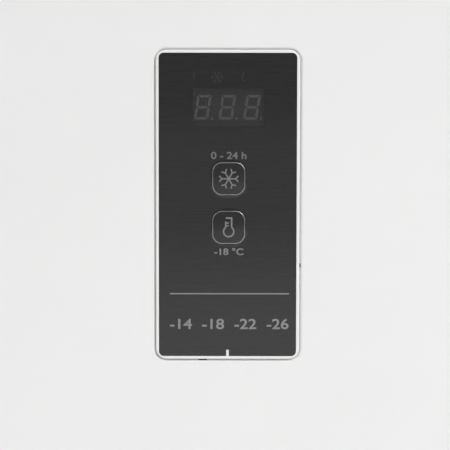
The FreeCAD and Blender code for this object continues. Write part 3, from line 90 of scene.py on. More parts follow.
# In the looks below cloud, grain, flake, dimple, dull, hair, haze and depth are in mm


# Painted, moulded and printed faces: an even skin with a faint cloud in the colour,
# a slow change of gloss and a fine grain that only breaks up the highlights.
def satinSkin(name, look):
    finish, tree = startFinish(name)
    spot = addNode(tree, "TexCoord").outputs["Object"]
    cloud = addNode(tree, "TexNoise", {"Vector": spot, "Scale": perMetre(look["cloud"]), "Detail": 3.0})
    tone = addNode(tree, "Mix", {mixShare: cloud.outputs["Fac"], mixDark: toLinear(look["dark"]),
                                 mixLight: toLinear(look["light"])}, data_type="RGBA")
    gloss = addNode(tree, "MapRange", {"Value": cloud.outputs["Fac"], **cloudSpan,
                                       "To Min": look["gloss"][0], "To Max": look["gloss"][1]})
    grain = addNode(tree, "TexNoise", {"Vector": spot, "Scale": perMetre(look["grain"]), "Detail": 2.0})
    bump = addNode(tree, "Bump", {"Height": grain.outputs["Fac"], "Strength": look["strength"],
                                  "Distance": look["depth"] * mm})
    skin = addNode(tree, "BsdfPrincipled", {"Base Color": tone.outputs[mixColour],
                                            "Roughness": gloss.outputs["Result"],
                                            "Normal": bump.outputs["Normal"], "IOR": look["ior"]})
    addNode(tree, "OutputMaterial", {"Surface": skin.outputs["BSDF"]})
    return finish


satinLooks = {
    # coil-coated steel: white polyester paint baked on the strip, smooth with a trace of orange peel
    "coilCoatedSteel": {"dark": "#EAEAEA", "light": "#EEEEEE", "cloud": 60, "gloss": (0.34, 0.42),
                        "grain": 1.8, "strength": 0.05, "depth": 0.02, "ior": 1.5},
    # pebble-rolled steel: the same paint on a finely embossed strip, so glare on the lid breaks up
    "pebbledSteel": {"dark": "#EAEAEA", "light": "#EEEEEE", "cloud": 60, "gloss": (0.58, 0.66),
                     "grain": 1.4, "strength": 0.15, "depth": 0.05, "ior": 1.5},
    # moulded ABS: white, a little warmer and finer than the paint, from a spark-eroded mould
    "mouldedAbs": {"dark": "#E9E9E8", "light": "#EDEDEC", "cloud": 25, "gloss": (0.36, 0.44),
                   "grain": 0.5, "strength": 0.06, "depth": 0.01, "ior": 1.54},
    # ABS from an etched mould: duller, with a fine leathery grain that hides finger marks
    "etchedAbs": {"dark": "#E9E9E8", "light": "#EDEDEC", "cloud": 25, "gloss": (0.56, 0.64),
                  "grain": 0.9, "strength": 0.12, "depth": 0.03, "ior": 1.54},
    # vacuum-formed polystyrene: glossier white, gently wavy from the forming
    "formedPolystyrene": {"dark": "#E8E9EA", "light": "#EEEFEF", "cloud": 80, "gloss": (0.3, 0.38),
                          "grain": 9.0, "strength": 0.01, "depth": 0.05, "ior": 1.59},
    # polyethylene dip on basket wire: thick soft white skin with slow runs
    "dippedPolyethylene": {"dark": "#DDDFE0", "light": "#ECEDED", "cloud": 14, "gloss": (0.38, 0.5),
                           "grain": 2.5, "strength": 0.12, "depth": 0.05, "ior": 1.51},
    # foamed polyurethane: straw yellow cut cells
    "foamedPolyurethane": {"dark": "#CDB67A", "light": "#E4D29C", "cloud": 8, "gloss": (0.8, 0.9),
                           "grain": 1.2, "strength": 0.5, "depth": 0.3, "ior": 1.45},
    # extruded soft PVC: grey sealing strip with a waxy sheen
    "softPvc": {"dark": "#B9BBBD", "light": "#C6C8CA", "cloud": 20, "gloss": (0.45, 0.55),
                "grain": 0.8, "strength": 0.08, "depth": 0.02, "ior": 1.53},
    # moulded nitrile rubber: dark grey, dull, lightly bloomed
    "nitrileRubber": {"dark": "#26272A", "light": "#383A3D", "cloud": 6, "gloss": (0.6, 0.75),
                      "grain": 0.7, "strength": 0.15, "depth": 0.03, "ior": 1.52},
    # moulded nylon: black-grey with scuffs
    "mouldedNylon": {"dark": "#2A2B2D", "light": "#434548", "cloud": 4, "gloss": (0.42, 0.6),
                     "grain": 0.6, "strength": 0.15, "depth": 0.03, "ior": 1.53},
    # moulded polypropylene: plain black housing plastic, satin
    "blackPolypropylene": {"dark": "#1F2022", "light": "#2A2B2D", "cloud": 10, "gloss": (0.45, 0.55),
                           "grain": 0.6, "strength": 0.1, "depth": 0.02, "ior": 1.49},
    # stove enamel: black gloss on a deep-drawn pot
    "stoveEnamel": {"dark": "#141516", "light": "#1C1D1E", "cloud": 30, "gloss": (0.18, 0.3),
                    "grain": 2.0, "strength": 0.08, "depth": 0.03, "ior": 1.5},
    # glass-epoxy laminate: a board under its green solder mask
    "glassEpoxy": {"dark": "#1E5A3A", "light": "#2A6E48", "cloud": 3, "gloss": (0.3, 0.45),
                   "grain": 0.5, "strength": 0.1, "depth": 0.02, "ior": 1.55},
    # sprayed lacquer on the display's face: dark grey and dull round the segments
    "greyLacquer": {"dark": "#585859", "light": "#5C5C5D", "cloud": 5, "gloss": (0.5, 0.6),
                    "grain": 0.4, "strength": 0.05, "depth": 0.01, "ior": 1.5},
    # cast milky epoxy: the unlit segments, pale behind the smoked window
    "milkyEpoxy": {"dark": "#C8C8C6", "light": "#D0D0CE", "cloud": 2, "gloss": (0.5, 0.6),
                   "grain": 0.4, "strength": 0.05, "depth": 0.01, "ior": 1.55},
    # screen-print inks: flat greys laid thinly over the film, so the black shows through the weaker ones
    "screenInk": {"dark": "#818182", "light": "#8C8C8D", "cloud": 1.5, "gloss": (0.5, 0.6),
                  "grain": 0.3, "strength": 0.05, "depth": 0.005, "ior": 1.5},
    "labelInk": {"dark": "#777778", "light": "#838384", "cloud": 1.5, "gloss": (0.5, 0.6),
                 "grain": 0.3, "strength": 0.05, "depth": 0.005, "ior": 1.5},
    "thinInk": {"dark": "#656566", "light": "#6F6F70", "cloud": 1.5, "gloss": (0.5, 0.6),
                "grain": 0.3, "strength": 0.05, "depth": 0.005, "ior": 1.5},
    "keyInk": {"dark": "#727273", "light": "#7D7D7E", "cloud": 1.5, "gloss": (0.45, 0.55),
               "grain": 0.3, "strength": 0.05, "depth": 0.005, "ior": 1.5},
    # dead-front ink: a smoke grey that only reads when a lamp shines through it
    "deadFrontInk": {"dark": "#313132", "light": "#353536", "cloud": 1.5, "gloss": (0.14, 0.2),
                     "grain": 0.3, "strength": 0.02, "depth": 0.005, "ior": 1.6},
    # black ABS from a polished mould: half gloss, so a key's crown mirrors the floor at its lower edge
    "polishedAbs": {"dark": "#2A2A2B", "light": "#2E2E2F", "cloud": 1.2, "gloss": (0.12, 0.16),
                    "grain": 0.4, "strength": 0.02, "depth": 0.005, "ior": 1.42},
    # matt painted floor: pale and dull, with a very slow change of tone
    "studioFloor": {"dark": "#DEDEDD", "light": "#E4E4E3", "cloud": 900, "gloss": (0.9, 1.0),
                    "grain": 6, "strength": 0.02, "depth": 0.1, "ior": 1.45},
}


# Sheet, drawn and plated metals: crystals or draw marks change the reflection from place to place.
def bareMetal(name, look):
    finish, tree = startFinish(name)
    spot = addNode(tree, "TexCoord").outputs["Object"]
    flake = addNode(tree, "TexVoronoi", {"Vector": spot, "Scale": perMetre(look["flake"])})
    split = addNode(tree, "SeparateColor", {"Color": flake.outputs["Color"]})
    cloud = addNode(tree, "TexNoise", {"Vector": spot, "Scale": perMetre(look["cloud"]), "Detail": 5.0})
    blend = addNode(tree, "Mix", {mixShare: look["cloudShare"], mixLow: split.outputs["Red"],
                                  mixHigh: cloud.outputs["Fac"]}).outputs[0]
    tone = addNode(tree, "Mix", {mixShare: blend, mixDark: toLinear(look["dark"]),
                                 mixLight: toLinear(look["light"])}, data_type="RGBA")
    gloss = addNode(tree, "MapRange", {"Value": blend, "To Min": look["gloss"][0],
                                       "To Max": look["gloss"][1]})
    bump = addNode(tree, "Bump", {"Height": cloud.outputs["Fac"], "Strength": look["strength"],
                                  "Distance": look["depth"] * mm})
    skin = addNode(tree, "BsdfPrincipled", {"Base Color": tone.outputs[mixColour],
                                            "Roughness": gloss.outputs["Result"],
                                            "Normal": bump.outputs["Normal"], "Metallic": 1.0})
    addNode(tree, "OutputMaterial", {"Surface": skin.outputs["BSDF"]})
    return finish


metalLooks = {
    # black nickel plating on a key's rim: a thin line that mirrors the floor below and the lamps beside it
    "blackNickel": {"dark": "#98989B", "light": "#A6A6A9", "flake": 0.6, "cloud": 1.5, "cloudShare": 0.8,
                    "gloss": (0.24, 0.32), "strength": 0.03, "depth": 0.005},
    # hot-dip galvanised sheet: pale grey with small zinc crystals
    "galvanisedSheet": {"dark": "#A6ABAE", "light": "#C8CCCE", "flake": 6, "cloud": 40, "cloudShare": 0.6,
                        "gloss": (0.42, 0.56), "strength": 0.05, "depth": 0.05},
    # bright zinc plating on screws and hinges: faintly blue, finely drawn
    "zincPlating": {"dark": "#A3A8AC", "light": "#C9CDD0", "flake": 0.8, "cloud": 7, "cloudShare": 0.7,
                    "gloss": (0.24, 0.4), "strength": 0.05, "depth": 0.02},
    # drawn copper pipe: brown-pink with darker heat marks
    "drawnCopper": {"dark": "#8A5037", "light": "#C98A66", "flake": 1.5, "cloud": 18, "cloudShare": 0.8,
                    "gloss": (0.22, 0.42), "strength": 0.04, "depth": 0.02},
    # drawn aluminium pipe: pale and slightly dull
    "drawnAluminium": {"dark": "#A9ACAE", "light": "#D3D5D6", "flake": 1.2, "cloud": 15, "cloudShare": 0.8,
                       "gloss": (0.3, 0.45), "strength": 0.04, "depth": 0.02},
    # oil-tempered spring wire: dark steel with a thin oil film
    "springWire": {"dark": "#4B4E52", "light": "#73777B", "flake": 0.6, "cloud": 5, "cloudShare": 0.7,
                   "gloss": (0.25, 0.38), "strength": 0.05, "depth": 0.01},
}


# Stucco-embossed aluminium: rolled dimples scatter the light in small pale glints.
def embossedAluminium(name, look):
    finish, tree = startFinish(name)
    spot = addNode(tree, "TexCoord").outputs["Object"]
    dimple = addNode(tree, "TexVoronoi", {"Vector": spot, "Scale": perMetre(look["dimple"]),
                                          "Smoothness": 0.6}, feature="SMOOTH_F1")
    dull = addNode(tree, "TexNoise", {"Vector": spot, "Scale": perMetre(look["dull"]), "Detail": 4.0})
    tone = addNode(tree, "Mix", {mixShare: dull.outputs["Fac"], mixDark: toLinear(look["dark"]),
                                 mixLight: toLinear(look["light"])}, data_type="RGBA")
    gloss = addNode(tree, "MapRange", {"Value": dull.outputs["Fac"], "To Min": look["gloss"][0],
                                       "To Max": look["gloss"][1]})
    bump = addNode(tree, "Bump", {"Height": dimple.outputs["Distance"], "Strength": look["strength"],
                                  "Distance": look["depth"] * mm})
    skin = addNode(tree, "BsdfPrincipled", {"Base Color": tone.outputs[mixColour],
                                            "Roughness": gloss.outputs["Result"],
                                            "Normal": bump.outputs["Normal"], "Metallic": 1.0})
    addNode(tree, "OutputMaterial", {"Surface": skin.outputs["BSDF"]})
    return finish


stuccoLook = {"dark": "#E6E8E9", "light": "#F1F2F2", "dimple": 4.0, "dull": 60, "gloss": (0.36, 0.48),
              "strength": 0.7, "depth": 0.6}


# Printed polycarbonate film: black with level hairlines under a half-gloss face that
# mirrors the floor softly. Hairlines are about 0.1 mm and are drawn at 0.45 mm so that they show.
def hairlineFilm(name, look):
    finish, tree = startFinish(name)
    spot = addNode(tree, "TexCoord").outputs["Object"]
    stretch = addNode(tree, "Mapping", {"Vector": spot, "Scale": (1 / look["run"], 1.0, 1.0)})
    hair = addNode(tree, "TexNoise", {"Vector": stretch.outputs["Vector"], "Scale": perMetre(look["hair"]),
                                      "Detail": 3.0, "Roughness": 0.6})
    level = addNode(tree, "MapRange", {"Value": hair.outputs["Fac"], **hairSpan})
    tone = addNode(tree, "Mix", {mixShare: level.outputs["Result"], mixDark: toLinear(look["dark"]),
                                 mixLight: toLinear(look["light"])}, data_type="RGBA")
    gloss = addNode(tree, "MapRange", {"Value": hair.outputs["Fac"], **hairSpan,
                                       "To Min": look["gloss"][0], "To Max": look["gloss"][1]})
    skin = addNode(tree, "BsdfPrincipled", {"Base Color": tone.outputs[mixColour],
                                            "Roughness": gloss.outputs["Result"], "IOR": look["ior"]})
    addNode(tree, "OutputMaterial", {"Surface": skin.outputs["BSDF"]})
    return finish


filmLook = {"dark": "#212122", "light": "#272728", "hair": 0.45, "run": 26, "gloss": (0.07, 0.11),
            "ior": 1.55}


# Smoked polycarbonate: the same film left unprinted, so the unlit display is just seen through it.
def smokedWindow(name, look):
    finish, tree = startFinish(name)
    spot = addNode(tree, "TexCoord").outputs["Object"]
    haze = addNode(tree, "TexNoise", {"Vector": spot, "Scale": perMetre(look["haze"]), "Detail": 2.0})
    tone = addNode(tree, "Mix", {mixShare: haze.outputs["Fac"], mixDark: toLinear(look["dark"]),
                                 mixLight: toLinear(look["light"])}, data_type="RGBA")
    skin = addNode(tree, "BsdfPrincipled", {"Base Color": tone.outputs[mixColour], "Roughness": look["gloss"],
                                            "IOR": look["ior"], "Alpha": look["cover"]})
    addNode(tree, "OutputMaterial", {"Surface": skin.outputs["BSDF"]})
    return finish


smokedLook = {"dark": "#373738", "light": "#3A3A3B", "haze": 3, "gloss": 0.2, "ior": 1.5, "cover": 0.5}

finishes = {name: satinSkin(name, look) for name, look in satinLooks.items()}
finishes.update({name: bareMetal(name, look) for name, look in metalLooks.items()})
finishes["stuccoAluminium"] = embossedAluminium("stuccoAluminium", stuccoLook)
finishes["printedPolycarbonate"] = hairlineFilm("printedPolycarbonate", filmLook)
finishes["smokedPolycarbonate"] = smokedWindow("smokedPolycarbonate", smokedLook)
print("finishes made:", len(finishes))

finishOf = {
    "coilCoatedSteel": ["outer_shell"],
    "pebbledSteel": ["lid_skin"],
    "mouldedAbs": ["control_frame", "sensor_cover", "temperature_sensor"],
    "etchedAbs": ["top_rim", "side_vent_grille", "drain_cap", "lid_handle"],
    "formedPolystyrene": ["lid_liner"],
    "dippedPolyethylene": ["wire_basket", "basket_hangers"],
    "foamedPolyurethane": ["foam_insulation", "lid_foam"],
    "softPvc": ["lid_gasket", "drain_tube", "drain_plug"],
    "nitrileRubber": ["compressor_grommets", "control_cable"],
    "mouldedNylon": ["roller_left", "roller_right", "front_feet"],
    "blackPolypropylene": ["terminal_cover", "cord_gland", "control_housing", "key_switches"],
    "stoveEnamel": ["compressor", "compressor_feet"],
    "glassEpoxy": ["control_board"],
    "greyLacquer": ["display_module"],
    "milkyEpoxy": ["display_segments"],
    "polishedAbs": ["fast_freeze_button", "temperature_button"],
    "galvanisedSheet": ["rear_panel", "base_pan", "rear_cover", "cabinet_backing_plates",
                        "lid_backing_plates", "roller_brackets"],
    "zincPlating": ["hinge_bases", "hinge_leaves", "hinge_pins", "hinge_screws", "lid_screws",
                    "rear_cover_screws", "roller_axles", "roller_rivets", "compressor_bolts",
                    "control_screws"],
    "drawnCopper": ["suction_pipe", "discharge_pipe", "filter_drier", "capillary_tube", "condenser_coil"],
    "drawnAluminium": ["evaporator_coil"],
    "springWire": ["hinge_springs"],
    "stuccoAluminium": ["inner_liner"],
    "printedPolycarbonate": ["control_overlay"],
    "smokedPolycarbonate": ["display_lens"],
}
for finishName, names in finishOf.items():
    for name in names:
        for slot in nodes[name].material_slots:
            slot.material = finishes[finishName]
print("nodes dressed:", sum(len(names) for names in finishOf.values()))


def finishPiece(name, mesh, finish):
    print("piece", name, len(mesh.polygons), "faces")
    piece = bpy.data.objects.new(name, mesh)
    bpy.context.scene.collection.objects.link(piece)
    piece.data.materials.append(finishes[finish])
    return piece


# The control panel's prints are drawn flat in mm, u to the right, v up and w out of the face
overlayLow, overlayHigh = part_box("control_overlay")
panelMiddle = Vector(((overlayLow.x + overlayHigh.x) / 2, overlayLow.y, (overlayLow.z + overlayHigh.z) / 2))
printLook = {"sunk": 0.02, "proud": 0.02,  # how far an ink goes into the face and stands out of it
             "longEdge": 0.7, "cuts": 3}  # edges longer than this are cut before a print is bent
inkThick = printLook["sunk"] + printLook["proud"]


def onPanel(u, v):
    return panelMiddle + Vector((u * mm, 0, v * mm))


def onFace(face):
    return Matrix(((mm, 0, 0, face.x), (0, 0, -mm, face.y), (0, mm, 0, face.z), (0, 0, 0, 1)))


def addBar(bm, start, end, width):
    a, b = Vector(start), Vector(end)
    run = b - a
    place = Matrix.Translation(((a.x + b.x) / 2, (a.y + b.y) / 2, 0))
    turn = Matrix.Rotation(math.atan2(run.y, run.x), 4, "Z")
    bmesh.ops.create_cube(bm, size=1, matrix=place @ turn @ Matrix.Diagonal((run.length, width, inkThick, 1)))


def addArc(bm, centre, radius, width, start, sweep, steps):
    corners = [bm.verts.new((centre[0] + radius + a * width / 2, centre[1], b * inkThick / 2))
               for a, b in ((-1, -1), (1, -1), (1, 1), (-1, 1))]
    face = bm.faces.new(corners)
    bmesh.ops.rotate(bm, verts=corners, cent=(centre[0], centre[1], 0),
                     matrix=Matrix.Rotation(math.radians(start), 3, "Z"))
    bmesh.ops.spin(bm, geom=[face], cent=(centre[0], centre[1], 0), axis=(0, 0, 1),
                   angle=math.radians(sweep), steps=steps, use_merge=False)


def printSign(name, bm, face, finish, crown=None, body="cabinet"):
    if crown:  # a sign on a key follows the crown of its cap
        longEdges = [edge for edge in bm.edges if edge.calc_length() > printLook["longEdge"]]
        bmesh.ops.subdivide_edges(bm, edges=longEdges, cuts=printLook["cuts"], use_grid_fill=True)
        for vert in bm.verts:
            vert.co.z -= (vert.co.x ** 2 + vert.co.y ** 2) / (2 * crown)
    bmesh.ops.recalc_face_normals(bm, faces=bm.faces[:])
    bmesh.ops.transform(bm, matrix=onFace(face), verts=bm.verts[:])
    mesh = bpy.data.meshes.new(name)
    bm.to_mesh(mesh)
    bm.free()
    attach(finishPiece(name, mesh, finish), body)


def addSnowflake(bm, look):
    for turn in range(look["arms"]):
        angle = math.radians(360 / look["arms"] * turn)
        along = Vector((math.cos(angle), math.sin(angle)))
        fork = along * look["fork"]
        addBar(bm, (0, 0), fork, look["stroke"])
        for side in (-1, 1):
            tipAngle = angle + side * math.radians(look["spread"])
            tip = Vector((math.cos(tipAngle), math.sin(tipAngle))) * look["reach"]
            addBar(bm, fork, tip, look["stroke"])


def addThermometer(bm, look):
    bulb = look["bulb"]
    half = look["stem"] / 2
    join = math.degrees(math.asin(half / look["radius"]))
    addArc(bm, (0, bulb), look["radius"], look["stroke"], 90 + join, 360 - 2 * join, look["steps"])
    neck = bulb + look["radius"] * math.cos(math.radians(join))
    addBar(bm, (half, neck), (half, look["top"]), look["stroke"])
    addBar(bm, (half + look["stroke"] / 2, look["top"]), (-half, look["top"]), look["stroke"])
    addBar(bm, (-half, neck), (-half, look["shoulder"]), look["stroke"])
    for rise in look["marks"]:
        addBar(bm, (-half, rise), (-half + look["markLength"], rise), look["stroke"] * look["markShare"])


keyLook = {"crown": 47.86,  # radius of the caps' crown
           "snowflake": {"arms": 6, "fork": 2.75, "reach": 4.1, "spread": 17, "stroke": 0.53,
                         "ink": "keyInk"},
           # the thermometer is printed in the lighter label ink; its extra lightness over the key ink is a
           # painted reflection, standing in for the light the key's lower crown catches
           "thermometer": {"bulb": -1.68, "radius": 2.1, "steps": 28, "stem": 2.4, "top": 3.88,
                           "shoulder": 2.5, "stroke": 0.6, "marks": (0.7, 1.84), "markLength": 1.3,
                           "markShare": 0.8, "ink": "labelInk"}}
keySigns = {"fast_freeze_button": ("snowflake", addSnowflake),
            "temperature_button": ("thermometer", addThermometer)}


def keyFace(key):
    keyLow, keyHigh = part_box(key)
    return Vector(((keyLow.x + keyHigh.x) / 2, keyLow.y, (keyLow.z + keyHigh.z) / 2))


for key, (sign, draw) in keySigns.items():
    bm = bmesh.new()
    draw(bm, keyLook[sign])
    printSign(key.replace("button", sign), bm, keyFace(key), keyLook[sign]["ink"], keyLook["crown"], key)

# Each key has a raised rim that follows its crown, and the film round the key is embossed in a low slope
rimLook = {"low": 13.55, "high": 13.55, "corner": 4.12, "thick": 0.4, "base": -0.45, "rise": 0.5,
           "round": 0.12}
embossLook = {"low": 16.2, "high": 14.2, "corner": 4.5, "thick": 0.06, "base": -0.02, "rise": 0.1,
              "round": 0.0}
bandLook = {"cornerSteps": 10, "roundSteps": 3, "level": 0.999}  # a face this level is a cap


def roundedBand(look):
    bm = bmesh.new()
    quarter = Matrix.Rotation(math.radians(45), 4, "Z")  # sets the sides of the square level and upright
    stand = Matrix.Translation((0, 0, look["base"] + look["rise"] / 2)) @ quarter
    bmesh.ops.create_cone(bm, cap_ends=True, segments=4, radius1=look["low"] / math.sqrt(2),
                          radius2=look["high"] / math.sqrt(2), depth=look["rise"], matrix=stand)
    uprights = [edge for edge in bm.edges
                if abs(edge.verts[0].co.z - edge.verts[1].co.z) > look["rise"] / 2]
    bmesh.ops.bevel(bm, geom=uprights, offset=look["corner"], segments=bandLook["cornerSteps"],
                    profile=0.5, affect="EDGES", material=-1)
    caps = [facet for facet in bm.faces if abs(facet.normal.z) > bandLook["level"]]
    bmesh.ops.delete(bm, geom=caps, context="FACES_ONLY")
    bmesh.ops.solidify(bm, geom=bm.faces[:], thickness=look["thick"])
    if look["round"]:
        top = look["base"] + look["rise"] - look["round"] / 2
        lip = [edge for edge in bm.edges if min(vert.co.z for vert in edge.verts) > top
               and len({facet.normal.to_tuple(1) for facet in edge.link_faces}) > 1]
        bmesh.ops.bevel(bm, geom=lip, offset=look["round"], segments=bandLook["roundSteps"],
                        profile=0.5, affect="EDGES", material=-1)
    return bm


for key in keySigns:
    face = keyFace(key)
    printSign(key.replace("button", "rim"), roundedBand(rimLook), face, "blackNickel", keyLook["crown"], key)
    face.y = panelMiddle.y
    printSign(key.replace("button", "emboss"), roundedBand(embossLook), face, "printedPolycarbonate")

# The print of the faceplate laps over the edge of the display window
windowLook = {"stroke": 0.3}
lensLow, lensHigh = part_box("display_lens")
lensMiddle = (lensLow + lensHigh) / 2
halfWide, halfHigh = (lensHigh.x - lensLow.x) / 2 / mm, (lensHigh.z - lensLow.z) / 2 / mm
bm = bmesh.new()
for side in (-1, 1):
    addBar(bm, (-halfWide, side * halfHigh), (halfWide, side * halfHigh), windowLook["stroke"])
    addBar(bm, (side * halfWide, -halfHigh), (side * halfWide, halfHigh), windowLook["stroke"])
windowMiddle = Vector((lensMiddle.x, panelMiddle.y, lensMiddle.z))
printSign("window_border", bm, windowMiddle, "printedPolycarbonate")

# Dead-front signs above the display, each drawn about its own middle
deadFrontLook = {"height": 52.4,
                 "snowflake": {"at": -4.4, "arms": 6, "fork": 1.6, "reach": 2.5, "spread": 15,
                               "stroke": 0.45},
                 "crescent": {"at": 7.8, "radius": 2.0, "start": 115, "sweep": 130, "steps": 14,
                              "stroke": 0.45},
                 "bar": {"at": -13.8, "dashes": ((2.2, -0.6), (-1.5, -2.1)), "stroke": 0.5}}


def addCrescent(bm, look):
    addArc(bm, (0, 0), look["radius"], look["stroke"], look["start"], look["sweep"], look["steps"])


def addDashes(bm, look):
    for top, bottom in look["dashes"]:
        addBar(bm, (0, top), (0, bottom), look["stroke"])


for sign, draw in (("snowflake", addSnowflake), ("crescent", addCrescent), ("bar", addDashes)):
    look = deadFrontLook[sign]
    bm = bmesh.new()
    draw(bm, look)
    printSign("lamp_" + sign, bm, onPanel(look["at"], deadFrontLook["height"]), "deadFrontInk")

# A thin rule below the keys
ruleLook = {"left": -23.7, "right": 25.3, "height": -36.38, "stroke": 0.5}
bm = bmesh.new()
addBar(bm, (ruleLook["left"], 0), (ruleLook["right"], 0), ruleLook["stroke"])
printSign("panel_rule", bm, onPanel(0, ruleLook["height"]), "screenInk")

# Plain numbers stand beside the keys and under the rule
numberLook = {
    "hours_numbers": {"text": "0 - 24 h", "at": (0.4, 20.45), "cap": 3.0, "width": 14.5, "bold": 0.02,
                      "ink": "thinInk"},
    "target_number": {"text": "-18 °C", "at": (0.5, -18.97), "cap": 2.95, "width": 12.0, "bold": 0.02,
                      "ink": "labelInk"},
    "range_numbers": {"text": "-14  -18  -22  -26", "at": (0.7, -48.9), "cap": 4.35, "width": 48.9,
                      "bold": 0.015, "ink": "screenInk"},
}
glyphLook = {"extrude": 0.02, "weld": 0.0001}  # in units of the letter height, before the numbers are sized


def printNumbers(name, look):
    line = bpy.data.curves.new(name, "FONT")
    line.body = look["text"]
    line.offset = look["bold"]
    line.extrude = glyphLook["extrude"]
    shown = bpy.data.objects.new(name, line)
    bpy.context.scene.collection.objects.link(shown)
    bpy.context.view_layer.update()
    mesh = bpy.data.meshes.new_from_object(shown.evaluated_get(bpy.context.evaluated_depsgraph_get()))
    bpy.data.objects.remove(shown)
    bm = bmesh.new()
    bm.from_mesh(mesh)
    bpy.data.meshes.remove(mesh)
    bmesh.ops.remove_doubles(bm, verts=bm.verts[:], dist=glyphLook["weld"])
    spread = [[v.co[axis] for v in bm.verts] for axis in (0, 1, 2)]
    size = [max(s) - min(s) for s in spread]
    middle = Vector([(max(s) + min(s)) / 2 for s in spread])
    fit = (look["width"] / size[0], look["cap"] / size[1], inkThick / size[2])
    bmesh.ops.translate(bm, vec=-middle, verts=bm.verts[:])
    bmesh.ops.scale(bm, vec=fit, verts=bm.verts[:])
    printSign(name, bm, onPanel(*look["at"]), look["ink"])


for name, look in numberLook.items():
    printNumbers(name, look)

# Torsion springs of the two lid hinges: wound wire, one leg on the cabinet's base and one on the lid's leaf
springLook = {"wire": 0.9, "mean": 6.3,  # radius of the wire and of the coil
              "pitch": 2.5, "turns": 4, "steps": 24, "sides": 10}
springRun = springLook["pitch"] * springLook["turns"]
springLow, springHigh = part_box("hinge_springs")
pinLow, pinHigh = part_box("hinge_pins")
axisY, axisZ = (pinLow.y + pinHigh.y) / 2, (pinLow.z + pinHigh.z) / 2


def hingeSpring(name, startX):
    bm = bmesh.new()
    seat = Vector((startX, axisY, axisZ))
    ring = bmesh.ops.create_circle(bm, segments=springLook["sides"], radius=springLook["wire"] * mm,
                                   matrix=Matrix.Translation(seat - Vector((0, springLook["mean"] * mm, 0))))
    firstEdges = list({edge for vert in ring["verts"] for edge in vert.link_edges})
    steps = springLook["turns"] * springLook["steps"]
    along = springRun * mm
    coil = bmesh.ops.spin(bm, geom=firstEdges, cent=seat, axis=(1, 0, 0), dvec=(along / steps, 0, 0),
                          angle=2 * math.pi * springLook["turns"], steps=steps)
    lastEdges = [item for item in coil["geom_last"] if isinstance(item, bmesh.types.BMEdge)]
    for edges, height in ((firstEdges, springHigh.z), (lastEdges, springLow.z)):
        leg = bmesh.ops.extrude_edge_only(bm, edges=edges)["geom"]
        tips = [item for item in leg if isinstance(item, bmesh.types.BMVert)]
        bmesh.ops.translate(bm, vec=(0, 0, height - axisZ), verts=tips)
    bmesh.ops.holes_fill(bm, edges=[edge for edge in bm.edges if edge.is_boundary], sides=0)
    bmesh.ops.recalc_face_normals(bm, faces=bm.faces[:])
    mesh = bpy.data.meshes.new(name)
    bm.to_mesh(mesh)
    bm.free()
    mesh.shade_smooth()
    spring = finishPiece(name, mesh, "springWire")
    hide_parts("hinge_springs")
    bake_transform(spring)


hingeSpring("hinge_spring_left", springLow.x + springLook["wire"] * mm)
hingeSpring("hinge_spring_right", springHigh.x - (springLook["wire"] + springRun) * mm)

# Studio: a pale floor that runs far out, an open sky that is brighter overhead, and five soft lamps
floorLook = {"size": 40.0, "cells": 8}
bm = bmesh.new()
bmesh.ops.create_grid(bm, x_segments=floorLook["cells"], y_segments=floorLook["cells"],
                      size=floorLook["size"] / 2)
mesh = bpy.data.meshes.new("studio_floor")
bm.to_mesh(mesh)
bm.free()
finishPiece("studio_floor", mesh, "studioFloor")

skyLook = {"horizon": 0.24, "zenith": 0.84, "riseFrom": 0.3, "riseTo": 0.95}  # rise is the sine of the height
sky = bpy.data.worlds.new("studioSky")
bpy.context.scene.world = sky
sky.use_nodes = True
sky.node_tree.nodes.clear()
way = addNode(sky.node_tree, "TexCoord").outputs["Generated"]
rise = addNode(sky.node_tree, "SeparateXYZ", {"Vector": way}).outputs["Z"]
bright = addNode(sky.node_tree, "MapRange", {"Value": rise, "From Min": skyLook["riseFrom"],
                                             "From Max": skyLook["riseTo"], "To Min": skyLook["horizon"],
                                             "To Max": skyLook["zenith"]})
glow = addNode(sky.node_tree, "Background", {"Strength": bright.outputs["Result"], "Color": (1, 1, 1, 1)})
addNode(sky.node_tree, "OutputWorld", {"Surface": glow.outputs["Background"]})

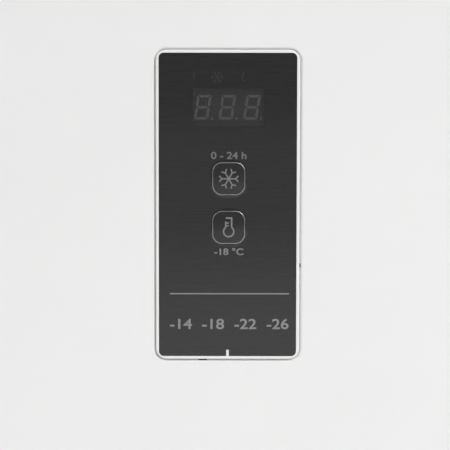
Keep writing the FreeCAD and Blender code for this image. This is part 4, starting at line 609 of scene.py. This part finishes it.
lampLayout = {
    "lampFront": {"at": (2.1, -2.5, 2.2), "aim": (0.55, -0.7, -0.1), "size": 1.05, "power": 8.7,
                  "spread": 60},
    "lampLeft": {"at": (-3.2, -0.7, 2.0), "aim": (-0.3, 0, 0.3), "size": 2.0, "power": 4.0, "spread": 70},
    "lampRight": {"at": (3.3, -1.5, 1.9), "aim": (0.45, -0.1, 0.3), "size": 2.0, "power": 4.0, "spread": 70},
    "lampRear": {"at": (0.4, 3.4, 2.0), "aim": (0, 0, 0.35), "size": 2.0, "power": 4.0, "spread": 70},
    "lampTop": {"at": (0, 0.3, 3.6), "aim": (0, 0.1, 0.4), "size": 1.6, "power": 1.6, "spread": 80},
}
for name, look in lampLayout.items():
    lamp = bpy.data.lights.new(name, "AREA")
    lamp.size = look["size"]
    lamp.energy = look["power"]
    lamp.spread = math.radians(look["spread"])
    stand = bpy.data.objects.new(name, lamp)
    bpy.context.scene.collection.objects.link(stand)
    stand.location = look["at"]
    stand.rotation_euler = (Vector(look["aim"]) - Vector(look["at"])).to_track_quat("-Z", "Y").to_euler()
print("studio lit:", len(lampLayout), "lamps")

# Camera: close on the panel, looking down a little
shotLook = {"across": 184.5, "distance": 0.67, "tilt": 4.3, "roll": 0.08, "right": -1.09, "up": -8.04,
            "sensor": 36.0, "near": 0.02}
camera = bpy.data.cameras.new("photo_camera")
camera.sensor_width = shotLook["sensor"]
camera.lens = shotLook["sensor"] * shotLook["distance"] / (shotLook["across"] * mm)
camera.clip_start = shotLook["near"]
shot = bpy.data.objects.new("photo_camera", camera)
bpy.context.scene.collection.objects.link(shot)
target = onPanel(shotLook["right"], shotLook["up"])
tilt = math.radians(shotLook["tilt"])
shot.location = target + shotLook["distance"] * Vector((0, -math.cos(tilt), math.sin(tilt)))
gaze = (target - shot.location).to_track_quat("-Z", "Y")
shot.rotation_mode = "QUATERNION"
shot.rotation_quaternion = gaze @ Matrix.Rotation(math.radians(shotLook["roll"]), 4, "Z").to_quaternion()
bpy.context.scene.camera = shot
print("camera placed")

bpy.context.scene.view_settings.view_transform = "Standard"
